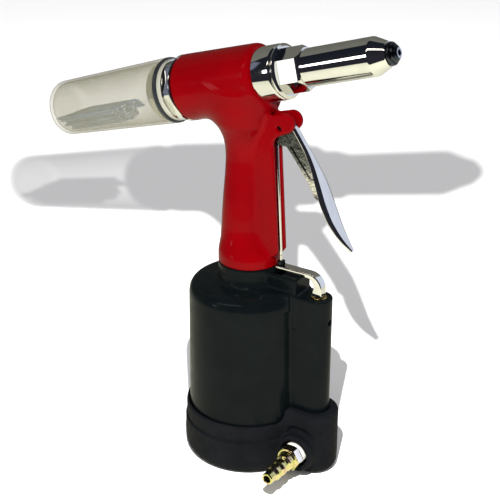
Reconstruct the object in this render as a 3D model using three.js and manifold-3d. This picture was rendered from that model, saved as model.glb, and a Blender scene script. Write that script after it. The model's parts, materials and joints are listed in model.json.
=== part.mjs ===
// Air-hydraulic blind rivet gun.
// Millimetres, +Z up. The origin is the centre of the flat underside of the base cover, on the axis of the
// air cylinder. +X points to the nose, +Y to the left of someone holding the gun, and the air inlet faces -Y.
import * as THREE from 'three';
import { mergeVertices } from 'three/addons/utils/BufferGeometryUtils.js';
import Module from 'manifold-3d';

const wasm = await Module();
wasm.setup();

// ---------------------------------------------------------------- driving dimensions
const GAP = 0.3;                                  // clearance between touching pieces

const BARREL_HEIGHT = 248;                        // barrel axis above the base, over the cylinder axis
const BARREL_PITCH = THREE.MathUtils.degToRad(16);
const BARREL_RADIUS = 20;                         // at the rear, tapering to the front
const BARREL_FRONT_RADIUS = 18.7;
const BARREL_REAR = -43;                          // stations along the barrel axis, + to the nose
const BARREL_FRONT = 12.4;
const HYDRAULIC_BORE = 14;
const CHAMBER_FRONT = 4;
const FRONT_BORE = 14.6;
const REAR_BORE = 16.4;
const REAR_BORE_START = -36;

const PISTON_ROD_RADIUS = 5.8;
const PISTON_ROD_BORE = 3.4;
const HEAD_TUBE_RADIUS = 10.8;
const HEAD_TUBE_BORE = 8.9;
const HEAD_CONE_START = 84.8;
const HEAD_TIP = 93;
const NOSE_FRONT = 98.2;
const MANDREL_HOLE = 1.6;

const COLLECTOR_REAR = -148;
const COLLECTOR_MOUTH = -57.4;
const COLLECTOR_MOUTH_RADIUS = 20;
const COLLECTOR_REAR_RADIUS = 17.6;
const COLLECTOR_WALL = 1.4;

const HANDLE_X = -3;                              // centre of the grip's round back
const COLLAR_X = 1;
const COLLAR_RADIUS = 19.5;
const COLLAR_BOTTOM = 133.8;
const FIN_HALF_WIDTH = 6;
const SLOT_HALF_WIDTH = 3.3;

const PIVOT = { x: 24.3, z: 222.7 };              // trigger pin, along Y
const PIN_RADIUS = 1.8;
const ROD_HEAD = { x: 19.2, z: 222.7 };           // where the trigger lifts the push rod
const ROD_FOOT = { x: 24.2, z: 127.8 };
const ROD_RADIUS = 1;

const CYLINDER_RADIUS_LOW = 38.6;
const CYLINDER_RADIUS_TOP = 37.2;
const CYLINDER_BORE = 34;
const CYLINDER_BOTTOM = 3.4;
const CYLINDER_TOP = 120.4;
const CEILING = 112.9;
const RAM_RADIUS = 5.5;
const RAM_BORE = 5.9;
const GLAND_BORE = 10;

const VALVE_X = 50.5;
const VALVE_BORE = 5.2;
const BOSS_X = 49.8;
const BOSS_HALF_WIDTH = 9;
const BOSS_BOTTOM = 5;
const RIB_TOP = 131.6;
const RIB_END = 39.4;

const BOOT_RADIUS = 41.4;
const BOOT_RIDGE = 23.8;
const BOOT_TOP = 36.1;
const POD_TOP = 44;
const POD_RADIUS = 15;
const INLET = { x: 46.6, z: 17.4 };               // air inlet axis, along -Y
const INLET_BOSS_END = -15.7;

const SEGMENTS = { large: 32, medium: 24, small: 16, tiny: 12 };   // sides of a turned body

// ---------------------------------------------------------------- solids from three.js geometry
function toSolid(geometry) {
  geometry.deleteAttribute('normal');
  geometry.deleteAttribute('uv');
  const merged = mergeVertices(geometry.index ? geometry.toNonIndexed() : geometry, 1e-4);
  const position = merged.attributes.position;
  const corner = [0, 1, 2].map(() => new THREE.Vector3());
  const triangles = [];
  let volume = 0;
  for (let i = 0; i < merged.index.count; i += 3) {
    const face = [0, 1, 2].map((k) => merged.index.getX(i + k));
    if (new Set(face).size < 3) continue;
    face.forEach((vertex, k) => corner[k].fromBufferAttribute(position, vertex));
    volume += corner[0].dot(corner[1].clone().cross(corner[2]));
    triangles.push(face);
  }
  const triVerts = Uint32Array.from(triangles.flatMap((face) => (volume < 0 ? face.reverse() : face)));
  const vertProperties = Float32Array.from(position.array);
  return new wasm.Manifold(new wasm.Mesh({ numProp: 3, vertProperties, triVerts }));
}

function toGeometry(solid) {
  const mesh = solid.getMesh();
  const geometry = new THREE.BufferGeometry();
  geometry.setAttribute('position', new THREE.BufferAttribute(Float32Array.from(mesh.vertProperties), 3));
  geometry.setIndex(new THREE.BufferAttribute(Uint32Array.from(mesh.triVerts), 1));
  return geometry;
}

const join = (...solids) => solids.reduce((whole, next) => whole.add(next));
const cut = (body, ...tools) => tools.reduce((whole, tool) => whole.subtract(tool), body);

// A body turned about Z: profile is a list of [radius, height], closed on the axis or on itself.
function turnedGeometry(profile, segments = SEGMENTS.medium) {
  const points = profile.map(([radius, height]) => new THREE.Vector2(radius, height));
  return new THREE.LatheGeometry(points, segments).rotateX(Math.PI / 2);
}
const turned = (profile, segments) => toSolid(turnedGeometry(profile, segments));
const barProfile = (radius, low, high) => [[0, low], [radius, low], [radius, high], [0, high]];
const ringProfile = (outer, inner, low, high) => [
  [inner, low], [outer, low], [outer, high], [inner, high], [inner, low],
];
const bar = (radius, low, high, segments) => turned(barProfile(radius, low, high), segments);
const ring = (outer, inner, low, high, segments) => turned(ringProfile(outer, inner, low, high), segments);

// Upright bar and ring standing at x, y instead of on the Z axis.
const uprightBar = (x, y, radius, low, high, segments = SEGMENTS.small) =>
  toSolid(turnedGeometry(barProfile(radius, low, high), segments).translate(x, y, 0));

// A round bar along Y between y0 and y1.
const crossBar = (x, z, radius, y0, y1, segments = SEGMENTS.small) =>
  toSolid(turnedGeometry(barProfile(radius, -y1, -y0), segments).rotateX(Math.PI / 2).translate(x, 0, z));

function shapeOf(outline) {
  return new THREE.Shape(outline.map(([a, b]) => new THREE.Vector2(a, b)));
}
// An outline in X and Z, extruded along Y between y0 and y1.
function sidePlate(outline, y0, y1) {
  const geometry = new THREE.ExtrudeGeometry(shapeOf(outline), { depth: y1 - y0, bevelEnabled: false });
  return toSolid(geometry.rotateX(Math.PI / 2).translate(0, y1, 0));
}
// An outline in X and Y, extruded upwards between two heights.
function floorPlate(outline, low, high) {
  const geometry = new THREE.ExtrudeGeometry(shapeOf(outline), { depth: high - low, bevelEnabled: false });
  return toSolid(geometry.translate(0, 0, low));
}
function block(x0, x1, y0, y1, z0, z1) {
  const geometry = new THREE.BoxGeometry(x1 - x0, y1 - y0, z1 - z0);
  return toSolid(geometry.translate((x0 + x1) / 2, (y0 + y1) / 2, (z0 + z1) / 2));
}
// A regular prism about Z, with the middle of a flat at the given angle.
function prism(sides, acrossFlats, low, high, flatAngle = 0) {
  const radius = acrossFlats / 2 / Math.cos(Math.PI / sides);
  const corners = Array.from({ length: sides }, (unused, i) => {
    const angle = flatAngle + ((i + 0.5) * 2 * Math.PI) / sides;
    return [radius * Math.cos(angle), radius * Math.sin(angle)];
  });
  return floorPlate(corners, low, high);
}
// Half of a stadium, from x0 to a round end centred at x1.
function tongue(x0, x1, halfWidth, steps = 14) {
  const outline = [[x0, -halfWidth]];
  for (let i = 0; i <= steps; i += 1) {
    const angle = -Math.PI / 2 + (Math.PI * i) / steps;
    outline.push([x1 + halfWidth * Math.cos(angle), halfWidth * Math.sin(angle)]);
  }
  outline.push([x0, halfWidth]);
  return outline;
}
// A coil spring about Z, its wire as a tube along a helix.
function springGeometry(coilRadius, wireRadius, low, high, turns) {
  class Helix extends THREE.Curve {
    getPoint(t, target = new THREE.Vector3()) {
      const angle = t * turns * 2 * Math.PI;
      return target.set(
        coilRadius * Math.cos(angle), coilRadius * Math.sin(angle), low + (high - low) * t);
    }
  }
  const sides = 5;
  const section = Array.from({ length: sides }, (unused, i) => {
    const angle = (i * 2 * Math.PI) / sides;
    return [wireRadius * Math.cos(angle), wireRadius * Math.sin(angle)];
  });
  const stepsPerTurn = 8;
  return new THREE.ExtrudeGeometry(shapeOf(section), {
    steps: turns * stepsPerTurn, bevelEnabled: false, extrudePath: new Helix(),
  });
}

// ---------------------------------------------------------------- groups, materials, meshes
const gun = new THREE.Group();
gun.name = 'rivet_gun';
const barrelGroup = new THREE.Group();            // local +Z runs along the barrel to the nose
barrelGroup.position.set(0, 0, BARREL_HEIGHT);
barrelGroup.rotation.y = Math.PI / 2 - BARREL_PITCH;
barrelGroup.updateMatrix();
gun.add(barrelGroup);

const finish = (color, roughness, metalness) =>
  new THREE.MeshStandardMaterial({ color, roughness, metalness });
const FINISH = {
  redPaint: finish(0xb0060a, 0.3, 0.1),
  chrome: finish(0xd8d8d8, 0.12, 1),
  steel: finish(0x9a9a9c, 0.35, 1),
  toolSteel: finish(0x5c5e62, 0.4, 1),
  blackOxide: finish(0x15171a, 0.35, 0.7),
  blackCasting: finish(0x16191a, 0.42, 0.2),
  blackRubber: finish(0x121416, 0.8, 0),
  clearPlastic: finish(0xc8c5b9, 0.35, 0),
  brass: finish(0xc79a3a, 0.3, 1),
  zincYellow: finish(0xb9a850, 0.28, 1),
  whitePlastic: finish(0xe6e2d6, 0.6, 0),
  aluminium: finish(0xa9abad, 0.4, 1),
};
function addPart(parent, name, shape, material) {
  const geometry = shape.isBufferGeometry ? shape : toGeometry(shape);
  const mesh = new THREE.Mesh(geometry, material);
  mesh.name = name;
  parent.add(mesh);
  return mesh;
}
// A barrel-frame geometry moved into the gun's frame, for cutting the frame casting.
const alongBarrel = (profile, segments) =>
  toSolid(turnedGeometry(profile, segments).applyMatrix4(barrelGroup.matrix));

// ---------------------------------------------------------------- main frame: barrel, grip, ears, collar
const BLEED = { x: -6, z: 241.4, face: 18.6 };    // oil filling screw, on a spot face on the +Y side

function mainFrame() {
  const rim = 2.6;
  const rearChamfer = 1;
  const barrel = alongBarrel([
    [0, BARREL_REAR], [BARREL_RADIUS - rearChamfer, BARREL_REAR], [BARREL_RADIUS, BARREL_REAR + rearChamfer],
    [BARREL_FRONT_RADIUS, BARREL_FRONT - rim], [BARREL_FRONT_RADIUS - 0.3 * rim, BARREL_FRONT - 0.3 * rim],
    [BARREL_FRONT_RADIUS - rim, BARREL_FRONT], [0, BARREL_FRONT],
  ], SEGMENTS.large);
  const grip = toSolid(turnedGeometry([
    [0, 136.4], [14.1, 136.4], [14.1, 151.4], [13.7, 163.4], [12.7, 177.4], [11.6, 189.4], [11, 199.4],
    [11.4, 206.4], [12.8, 212.4], [15.4, 217], [18, 220.9], [12, 235.4], [0, 235.4],
  ], SEGMENTS.medium).translate(HANDLE_X, 0, 0));
  const collar = toSolid(turnedGeometry([
    [0, COLLAR_BOTTOM], [COLLAR_RADIUS, COLLAR_BOTTOM], [COLLAR_RADIUS, 139.9], [18.6, 142.9], [15.6, 146.9],
    [12, 153.4], [0, 153.4],
  ], SEGMENTS.medium).translate(COLLAR_X, 0, 0));
  const finAndEars = sidePlate([
    [0, 141.4], [22, 141.4], [24.1, 144.4], [22.2, 179], [20.2, 212.4], [20.2, 215.5], [29.9, 220],
    [32, 222.4], [32.6, 225.6], [31.7, 228.8], [29.7, 231], [27.1, 231.7], [8.4, 226.9], [0, 226.9],
  ], -FIN_HALF_WIDTH, FIN_HALF_WIDTH);
  const slot = sidePlate([
    [12, 149.4], [20.8, 140.4], [20.8, 125.4], [50, 125.4], [50, 245.4], [18.6, 245.4], [17.6, 229.8],
    [12, 229.8],
  ], -SLOT_HALF_WIDTH, SLOT_HALF_WIDTH);
  const hydraulicBore = alongBarrel([
    [0, BARREL_REAR - 5], [REAR_BORE, BARREL_REAR - 5], [REAR_BORE, REAR_BORE_START],
    [HYDRAULIC_BORE, REAR_BORE_START], [HYDRAULIC_BORE, CHAMBER_FRONT],
    [PISTON_ROD_RADIUS + GAP, CHAMBER_FRONT], [PISTON_ROD_RADIUS + GAP, 5.4], [9, 5.4], [9, 8.4],
    [FRONT_BORE, 8.4], [FRONT_BORE, BARREL_FRONT + 5], [0, BARREL_FRONT + 5],
  ], SEGMENTS.medium);
  const ramBore = turned([
    [0, COLLAR_BOTTOM - 5], [9.6, COLLAR_BOTTOM - 5], [9.6, 138.8], [RAM_BORE, 138.8], [RAM_BORE, 237.4],
    [0, 237.4],
  ], SEGMENTS.small);
  const bleedHole = join(
    crossBar(BLEED.x, BLEED.z, 2.6, 0, 30), crossBar(BLEED.x, BLEED.z, 4.8, BLEED.face, 30));
  const pinHole = crossBar(PIVOT.x, PIVOT.z, PIN_RADIUS + GAP, -20, 20);
  return cut(join(barrel, grip, collar, finAndEars), slot, hydraulicBore, ramBore, bleedHole, pinHole);
}
addPart(gun, 'main_frame', mainFrame(), FINISH.redPaint);

function bleedScrew() {
  const head = crossBar(BLEED.x, BLEED.z, 4, BLEED.face + 1.3, BLEED.face + 4);
  const shank = crossBar(BLEED.x, BLEED.z, 2.2, 15.2, BLEED.face + 2);
  const socket = crossBar(BLEED.x, BLEED.z, 1.5, BLEED.face + 2.2, BLEED.face + 6, 6);
  return cut(join(head, shank), socket);
}
addPart(gun, 'bleed_screw', bleedScrew(), FINISH.steel);
addPart(gun, 'bleed_screw_washer', cut(
  crossBar(BLEED.x, BLEED.z, 4, BLEED.face + 0.2, BLEED.face + 1),
  crossBar(BLEED.x, BLEED.z, 2.5, 0, 40)), FINISH.brass);

// ---------------------------------------------------------------- nose, along the barrel
addPart(barrelGroup, 'front_bushing', turned([
  [11.4, 9], [14.3, 9], [14.3, 12.8], [16.1, 12.8], [16.1, 24.6], [15.6, 25.6], [11.4, 25.6], [11.4, 9],
]), FINISH.chrome);

const HEAD_FLAT_ANGLE = THREE.MathUtils.degToRad(84);   // a flat of the hexagon faces nearly along -Y
function frameHead() {
  const outer = turned([
    [0, 10], [11.1, 10], [11.1, 25.9], [15.6, 25.9], [16, 26.6], [15.4, 28.2], [HEAD_TUBE_RADIUS, 30],
    [HEAD_TUBE_RADIUS, HEAD_CONE_START], [6.9, HEAD_TIP], [0, HEAD_TIP],
  ]);
  const hexBody = prism(6, 22.6, 27, 41.4, HEAD_FLAT_ANGLE);
  const hexChamfer = turned([
    [0, 20], [13.1, 20], [13.1, 39.6], [HEAD_TUBE_RADIUS, 41.4], [0, 41.4],
  ]);
  const bore = turned([
    [0, 5], [HEAD_TUBE_BORE, 5], [HEAD_TUBE_BORE, 80], [5.2, 85], [5.2, 100], [0, 100],
  ], SEGMENTS.small);
  return cut(join(outer, hexBody.intersect(hexChamfer)), bore);
}
addPart(barrelGroup, 'frame_head', frameHead(), FINISH.chrome);

addPart(barrelGroup, 'nosepiece', turned([
  [MANDREL_HOLE, 82.4], [3.4, 82.4], [4.9, 84.2], [4.9, 93.3], [6.5, 93.3], [6.5, 95.2], [4.4, 97.2],
  [2.9, NOSE_FRONT], [MANDREL_HOLE, NOSE_FRONT], [MANDREL_HOLE, 82.4],
], SEGMENTS.small), FINISH.blackOxide);

// ---------------------------------------------------------------- jaws and the hydraulic piston
const CASE_RADIUS = 8.4;
const JAW_CONE = { start: 56, end: 72, wide: 6.6, narrow: 4 };
addPart(barrelGroup, 'jaw_case', turned([
  [7.2, 34], [CASE_RADIUS, 34], [CASE_RADIUS, 73], [7.4, 78], [3.6, 78], [JAW_CONE.narrow, JAW_CONE.end],
  [JAW_CONE.wide, JAW_CONE.start], [7.2, 54], [7.2, 34],
], SEGMENTS.small), FINISH.toolSteel);

addPart(barrelGroup, 'jaw_case_locknut', cut(
  prism(6, 14.2, 27.4, 33.4), bar(PISTON_ROD_RADIUS + GAP, 20, 40, SEGMENTS.small)), FINISH.steel);

const JAW_COUNT = 3;
const JAW_SPREAD = 0.35;                          // half gap between neighbouring jaws
function jaw(index) {
  const wedge = turned([
    [0, 58.4], [JAW_CONE.wide - 0.7, 58.4], [JAW_CONE.narrow - 0.2, 71.4], [0, 71.4],
  ], SEGMENTS.small);
  const throat = bar(1.1, 50, 90, SEGMENTS.tiny);
  const reach = 30;
  const half = Math.PI / JAW_COUNT;
  const middle = (index * 2 * Math.PI) / JAW_COUNT;
  const tip = JAW_SPREAD / Math.sin(half);
  const corner = (angle, radius) => [
    tip * Math.cos(middle) + radius * Math.cos(angle), tip * Math.sin(middle) + radius * Math.sin(angle),
  ];
  const sector = floorPlate([corner(middle, 0), corner(middle - half, reach), corner(middle, 2 * reach),
    corner(middle + half, reach)], 50, 80);
  return cut(wedge.intersect(sector), throat);
}
for (let index = 0; index < JAW_COUNT; index += 1) {
  addPart(barrelGroup, `jaw_${index + 1}`, jaw(index), FINISH.toolSteel);
}

addPart(barrelGroup, 'jaw_pusher', turned([
  [2.6, 51.4], [6.6, 51.4], [6.6, 53.6], [4.4, 53.6], [4.4, 57.9], [2.6, 57.9], [2.6, 51.4],
], SEGMENTS.small), FINISH.steel);

addPart(barrelGroup, 'jaw_pusher_spring', springGeometry(4.9, 0.7, 44.6, 50.2, 3), FINISH.steel);

function hydraulicPiston() {
  const body = turned([
    [0, -26], [5, -26], [5, -13], [HYDRAULIC_BORE - 0.5, -13], [HYDRAULIC_BORE - 0.5, -10.6], [11.3, -10.6],
    [11.3, -7.4], [HYDRAULIC_BORE - 0.5, -7.4], [HYDRAULIC_BORE - 0.5, -5], [PISTON_ROD_RADIUS, -5],
    [PISTON_ROD_RADIUS, 36], [6.8, 36], [6.8, 43.4], [0, 43.4],
  ], SEGMENTS.small);
  return cut(body, bar(PISTON_ROD_BORE, -40, 60, SEGMENTS.tiny));
}
addPart(barrelGroup, 'hydraulic_piston', hydraulicPiston(), FINISH.steel);
addPart(barrelGroup, 'hydraulic_piston_seal',
  ring(HYDRAULIC_BORE - GAP, 11.6, -10.3, -7.7, SEGMENTS.small), FINISH.blackRubber);
addPart(barrelGroup, 'rod_seal',
  ring(8.8, PISTON_ROD_RADIUS + 0.05, 5.7, 8.1, SEGMENTS.small), FINISH.blackRubber);
addPart(barrelGroup, 'return_spring', springGeometry(9.4, 1.1, -34.6, -14.6, 5), FINISH.steel);

// ---------------------------------------------------------------- rear cap and mandrel collector
const NECK_BORE = 7;
function rearCap() {
  const body = turned([
    [0, -37], [15.9, -37], [15.9, -43.3], [19.8, -43.3], [20.1, -44.6], [18, -45.6], [15, -45.6],
    [15, -52.6], [18.4, -52.6], [18.8, -54.2], [16.6, -54.2], [16.6, -56.6], [18, -56.6], [18, -57.6],
    [17.4, -63], [14.5, -66], [0, -66],
  ]);
  const hexagon = prism(6, 32.4, -53, -45.2, 0);
  const bore = turned([
    [0, -30], [12.4, -30], [12.4, -40.4], [NECK_BORE, -42.4], [NECK_BORE, -70], [0, -70],
  ], SEGMENTS.small);
  return cut(join(body, hexagon), bore);
}
addPart(barrelGroup, 'rear_cap', rearCap(), FINISH.chrome);
addPart(barrelGroup, 'rear_cap_seal', ring(19.9, 17, -56.4, -54.5), FINISH.blackRubber);
addPart(barrelGroup, 'mandrel_tube', ring(2.9, 2.3, -70, -8, SEGMENTS.tiny), FINISH.brass);
addPart(barrelGroup, 'mandrel_tube_ferrule', ring(6.7, 3.2, -52, -44, SEGMENTS.tiny), FINISH.brass);

const collectorRadius = (station) => THREE.MathUtils.mapLinear(
  station, COLLECTOR_REAR, COLLECTOR_MOUTH, COLLECTOR_REAR_RADIUS, COLLECTOR_MOUTH_RADIUS);
function mandrelCollector() {
  const corner = 3.4;
  const inner = (station) => collectorRadius(station) - COLLECTOR_WALL;
  const floor = COLLECTOR_REAR + COLLECTOR_WALL + 0.4;
  return turned([
    [0, COLLECTOR_REAR], [COLLECTOR_REAR_RADIUS - corner, COLLECTOR_REAR],
    [COLLECTOR_REAR_RADIUS - 0.3 * corner, COLLECTOR_REAR + 0.3 * corner],
    [collectorRadius(COLLECTOR_REAR + corner), COLLECTOR_REAR + corner],
    [COLLECTOR_MOUTH_RADIUS, COLLECTOR_MOUTH - 1], [COLLECTOR_MOUTH_RADIUS - 0.5, COLLECTOR_MOUTH],
    [inner(COLLECTOR_MOUTH), COLLECTOR_MOUTH], [inner(floor + 3), floor + 3], [inner(floor) - 2.4, floor],
    [0, floor],
  ]);
}
addPart(barrelGroup, 'mandrel_collector', mandrelCollector(), FINISH.clearPlastic);

// Spent mandrels lie on the lower wall of the collector: rows of thin rods that touch along their length.
function spentMandrels() {
  const rodRadius = 1.7;
  const pitch = 3;
  const rear = -142.6;
  const rows = [
    { count: 3, offset: 13.9, end: -92 },
    { count: 5, offset: 11.3, end: -90 },
    { count: 4, offset: 8.6, end: -93 },
  ];
  const bend = 0.2;
  const rods = rows.flatMap(({ count, offset, end }, row) => Array.from({ length: count }, (unused, i) => {
    const side = (i - (count - 1) / 2) * pitch;
    const rise = Math.abs(side) * bend;
    const stagger = 3 * ((i + row) % 2);
    const geometry = turnedGeometry(barProfile(rodRadius, rear + stagger, end - stagger), 8);
    return toSolid(geometry.translate(offset - rise, side, 0));
  }));
  return join(...rods);
}
addPart(barrelGroup, 'spent_mandrels', spentMandrels(), FINISH.steel);

// ---------------------------------------------------------------- trigger, push rod and valve lever
const TRIGGER_FRONT = [[28.4, 229.8], [37.4, 217.4], [44.6, 206.4], [51, 194.2], [56, 182.4], [61.2, 171.4],
  [66.8, 162.6], [72.4, 155.8]];
function triggerSide(thickness, tipThickness = thickness) {
  const last = TRIGGER_FRONT.length - 1;
  const rear = TRIGGER_FRONT.map(([x, z], i) => {
    const depth = THREE.MathUtils.lerp(thickness, tipThickness, (i / last) ** 3);
    const [xa, za] = TRIGGER_FRONT[Math.max(i - 1, 0)];
    const [xb, zb] = TRIGGER_FRONT[Math.min(i + 1, last)];
    const length = Math.hypot(xb - xa, zb - za);
    return [x + (depth * (zb - za)) / length, z - (depth * (xb - xa)) / length];
  });
  return [...TRIGGER_FRONT, ...rear.reverse()];
}
function trigger() {
  const leafOutline = [
    [2.6, 235.4], [2.6, 209.4], [4.2, 201.4], [6.4, 192.4], [7.4, 182.4], [6.6, 172.4], [4.2, 163.4],
    [1.6, 156.4], [0.8, 150.4],
  ];
  const leafShape = [...leafOutline, ...leafOutline.map(([y, z]) => [-y, z]).reverse()];
  const leafBlank = new THREE.ExtrudeGeometry(shapeOf(leafShape), { depth: 100, bevelEnabled: false });
  const leafCutter = toSolid(leafBlank.rotateX(Math.PI / 2).rotateZ(Math.PI / 2));
  const leaf = sidePlate(triggerSide(3.4, 2), -10, 10).intersect(leafCutter);
  const rib = sidePlate(triggerSide(6.4, 2), -1.8, 1.8);
  const web = sidePlate([
    [30, 228.4], [46.8, 202.8], [54, 188.4], [52, 183], [49.2, 182.2], [46.4, 184], [44.6, 188],
    [41.6, 192.8], [36.8, 199.6], [31.2, 207], [27.4, 211.8], [20, 211.4], [17.2, 218], [20.6, 226.4],
  ], -2.2, 2.2);
  const hub = join(
    crossBar(PIVOT.x, PIVOT.z, 5.2, -2.6, 2.6),
    sidePlate([[15.9, 218], [24, 218], [24, 225.8], [15.9, 225.8]], -2.6, 2.6));
  const rodSlot = sidePlate([
    [10, 221.4], [21.4, 221.4], [23.6, 217.4], [26.6, 211], [26.6, 200.4], [10, 200.4],
  ], -1.6, 1.6);
  const headNotch = join(
    crossBar(ROD_HEAD.x, ROD_HEAD.z, 2.2, -5, 5),
    block(10, ROD_HEAD.x, -5, 5, ROD_HEAD.z - 2.2, ROD_HEAD.z + 2.2));
  const pinHole = crossBar(PIVOT.x, PIVOT.z, PIN_RADIUS + GAP, -5, 5);
  return cut(join(leaf, rib, web, hub), rodSlot, headNotch, pinHole);
}
addPart(gun, 'trigger', trigger(), FINISH.chrome);
addPart(gun, 'trigger_pin', crossBar(PIVOT.x, PIVOT.z, PIN_RADIUS, -5.9, 5.9), FINISH.steel);

function pushRod() {
  const length = Math.hypot(ROD_HEAD.x - ROD_FOOT.x, ROD_HEAD.z - ROD_FOOT.z);
  const lean = Math.atan2(ROD_HEAD.x - ROD_FOOT.x, ROD_HEAD.z - ROD_FOOT.z);
  const shaft = toSolid(turnedGeometry(barProfile(ROD_RADIUS, 0, length), SEGMENTS.tiny).rotateY(lean)
    .translate(ROD_FOOT.x, 0, ROD_FOOT.z));
  return join(shaft, crossBar(ROD_HEAD.x, ROD_HEAD.z, 1.9, -2.5, 2.5));
}
addPart(gun, 'push_rod', pushRod(), FINISH.steel);

const LEVER = { bottom: 132.2, top: 135.2 };
const rodXAt = (z) => THREE.MathUtils.mapLinear(z, ROD_FOOT.z, ROD_HEAD.z, ROD_FOOT.x, ROD_HEAD.x);
const rodNut = (low, high) => {
  const x = rodXAt((low + high) / 2);
  return cut(
    toSolid(toGeometry(prism(6, 4.8, low, high, Math.PI / 2)).translate(x, 0, 0)),
    uprightBar(x, 0, ROD_RADIUS + GAP, low - 1, high + 1, SEGMENTS.tiny));
};
addPart(gun, 'push_rod_nut', rodNut(129.4, LEVER.bottom - GAP), FINISH.blackOxide);
addPart(gun, 'push_rod_locknut', rodNut(LEVER.top + GAP, 137.8), FINISH.blackOxide);

function valveLever() {
  const strip = sidePlate([
    [21.8, LEVER.bottom], [44, LEVER.bottom], [46.2, 130], [48.6, 121.5], [53.8, 121.5], [53.8, 123.4],
    [51.6, 128.8], [48.8, 132.6], [45.4, 134.6], [42, LEVER.top], [21.8, LEVER.top],
  ], -3.2, 3.2);
  const rodHole = uprightBar(rodXAt(LEVER.bottom), 0, ROD_RADIUS + 0.5, 125, 140, SEGMENTS.tiny);
  return cut(strip, rodHole);
}
addPart(gun, 'valve_lever', valveLever(), FINISH.chrome);

// ---------------------------------------------------------------- throttle valve in the boss
const upright = new THREE.Group();
upright.position.x = VALVE_X;
gun.add(upright);
addPart(upright, 'valve_bushing', ring(4.9, 2.5, 107.4, 120.7, SEGMENTS.small), FINISH.brass);
addPart(upright, 'valve_stem', turned([
  [0, 30], [2.6, 30], [2.6, 34], [4.4, 34], [4.4, 38], [3.4, 38], [3.4, 40.4], [4.4, 40.4], [4.4, 44],
  [2.1, 48], [2.1, 92], [3.9, 92], [3.9, 94], [3, 94], [3, 96.2], [3.9, 96.2], [3.9, 98.4],
  [2.1, 98.4], [2.1, 121.2], [0, 121.2],
], SEGMENTS.tiny), FINISH.steel);
addPart(upright, 'valve_oring_lower', ring(4.9, 3.6, 38.3, 40.1, SEGMENTS.tiny), FINISH.blackRubber);
addPart(upright, 'valve_oring_upper', ring(4.9, 3.2, 94.2, 96, SEGMENTS.tiny), FINISH.blackRubber);
addPart(upright, 'valve_spring', springGeometry(3.6, 0.5, 99.3, 106.4, 4), FINISH.steel);
addPart(upright, 'valve_plug', turned([
  [0, 8.4], [5, 8.4], [5, 13], [2.8, 13], [2.8, 16], [0, 16],
], SEGMENTS.tiny), FINISH.brass);

// ---------------------------------------------------------------- air cylinder
function airCylinder() {
  const shell = turned([
    [0, CYLINDER_BOTTOM], [CYLINDER_RADIUS_LOW, CYLINDER_BOTTOM], [CYLINDER_RADIUS_TOP, 116],
    [CYLINDER_RADIUS_TOP - 1.2, 118.8], [CYLINDER_RADIUS_TOP - 4, 120.2], [31, CYLINDER_TOP],
    [29, 121.8], [0, 122.6],
  ], SEGMENTS.large);
  const neck = toSolid(turnedGeometry([
    [0, 115.4], [21.5, 115.4], [20.4, 123.9], [COLLAR_RADIUS, 126.4], [COLLAR_RADIUS, COLLAR_BOTTOM - GAP],
    [0, COLLAR_BOTTOM - GAP],
  ], SEGMENTS.medium).translate(COLLAR_X, 0, 0));
  const boss = floorPlate(tongue(20, BOSS_X, BOSS_HALF_WIDTH), BOSS_BOTTOM, CYLINDER_TOP);
  const rib = block(10, RIB_END, -BOSS_HALF_WIDTH, BOSS_HALF_WIDTH, CEILING, RIB_TOP);
  const inletBoss = crossBar(INLET.x, INLET.z, 8.4, INLET_BOSS_END, 0);
  const rodPocket = block(21.2, 27.8, -6.6, 4.6, 126, 150);
  const bore = turned([
    [0, -5], [35.4, -5], [35.4, 16.4], [CYLINDER_BORE, 16.4], [CYLINDER_BORE, CEILING], [GLAND_BORE, CEILING],
    [GLAND_BORE, 150], [0, 150],
  ]);
  const valveBore = uprightBar(VALVE_X, 0, VALVE_BORE, 0, 150);
  const inletBore = crossBar(INLET.x, INLET.z, 6, -30, 2);
  const exhaustHole = toSolid(turnedGeometry(barProfile(1.9, 0, 20), SEGMENTS.small).rotateY(Math.PI / 2)
    .translate(VALVE_X, 0, 104.8));
  const airPassage = block(30, VALVE_X, -2.5, 2.5, 14.6, 17.6);
  return cut(join(shell, neck, boss, rib, inletBoss),
    rodPocket, bore, valveBore, inletBore, exhaustHole, airPassage);
}
addPart(gun, 'air_cylinder', airCylinder(), FINISH.blackCasting);

function ramGland() {
  const body = turned([
    [0, 106.4], [GLAND_BORE - GAP, 106.4], [GLAND_BORE - GAP, 133.4], [0, 133.4],
  ], SEGMENTS.small);
  const head = prism(6, 27, 106.4, CEILING - GAP);
  return cut(join(body, head), bar(RAM_BORE, 100, 150, SEGMENTS.small));
}
addPart(gun, 'ram_gland', ramGland(), FINISH.steel);
addPart(gun, 'ram_packing',
  ring(9.3, RAM_RADIUS + 0.05, COLLAR_BOTTOM + 0.4, 138.4, SEGMENTS.small), FINISH.blackRubber);

// ---------------------------------------------------------------- air piston and ram
const PISTON_FLOOR = 18;
const PISTON_TOP = 30;
addPart(gun, 'air_piston', turned([
  [RAM_RADIUS - 1.2, PISTON_FLOOR], [CYLINDER_BORE - 0.5, PISTON_FLOOR], [CYLINDER_BORE - 0.5, 21.6],
  [29.6, 21.6], [29.6, 26.4], [CYLINDER_BORE - 0.5, 26.4], [CYLINDER_BORE - 0.5, PISTON_TOP],
  [26, PISTON_TOP], [24, 25], [13, 25], [11, PISTON_TOP], [RAM_RADIUS - 1.2, PISTON_TOP],
  [RAM_RADIUS - 1.2, PISTON_FLOOR],
]), FINISH.aluminium);
addPart(gun, 'air_piston_seal', ring(CYLINDER_BORE - 0.1, 29.9, 21.9, 26.1), FINISH.blackRubber);
addPart(gun, 'ram', turned([
  [0, 12.6], [3.9, 12.6], [3.9, PISTON_TOP + GAP], [RAM_RADIUS, PISTON_TOP + GAP], [RAM_RADIUS, 144],
  [RAM_RADIUS - 1, 145], [0, 145],
], SEGMENTS.small), FINISH.steel);
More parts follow.
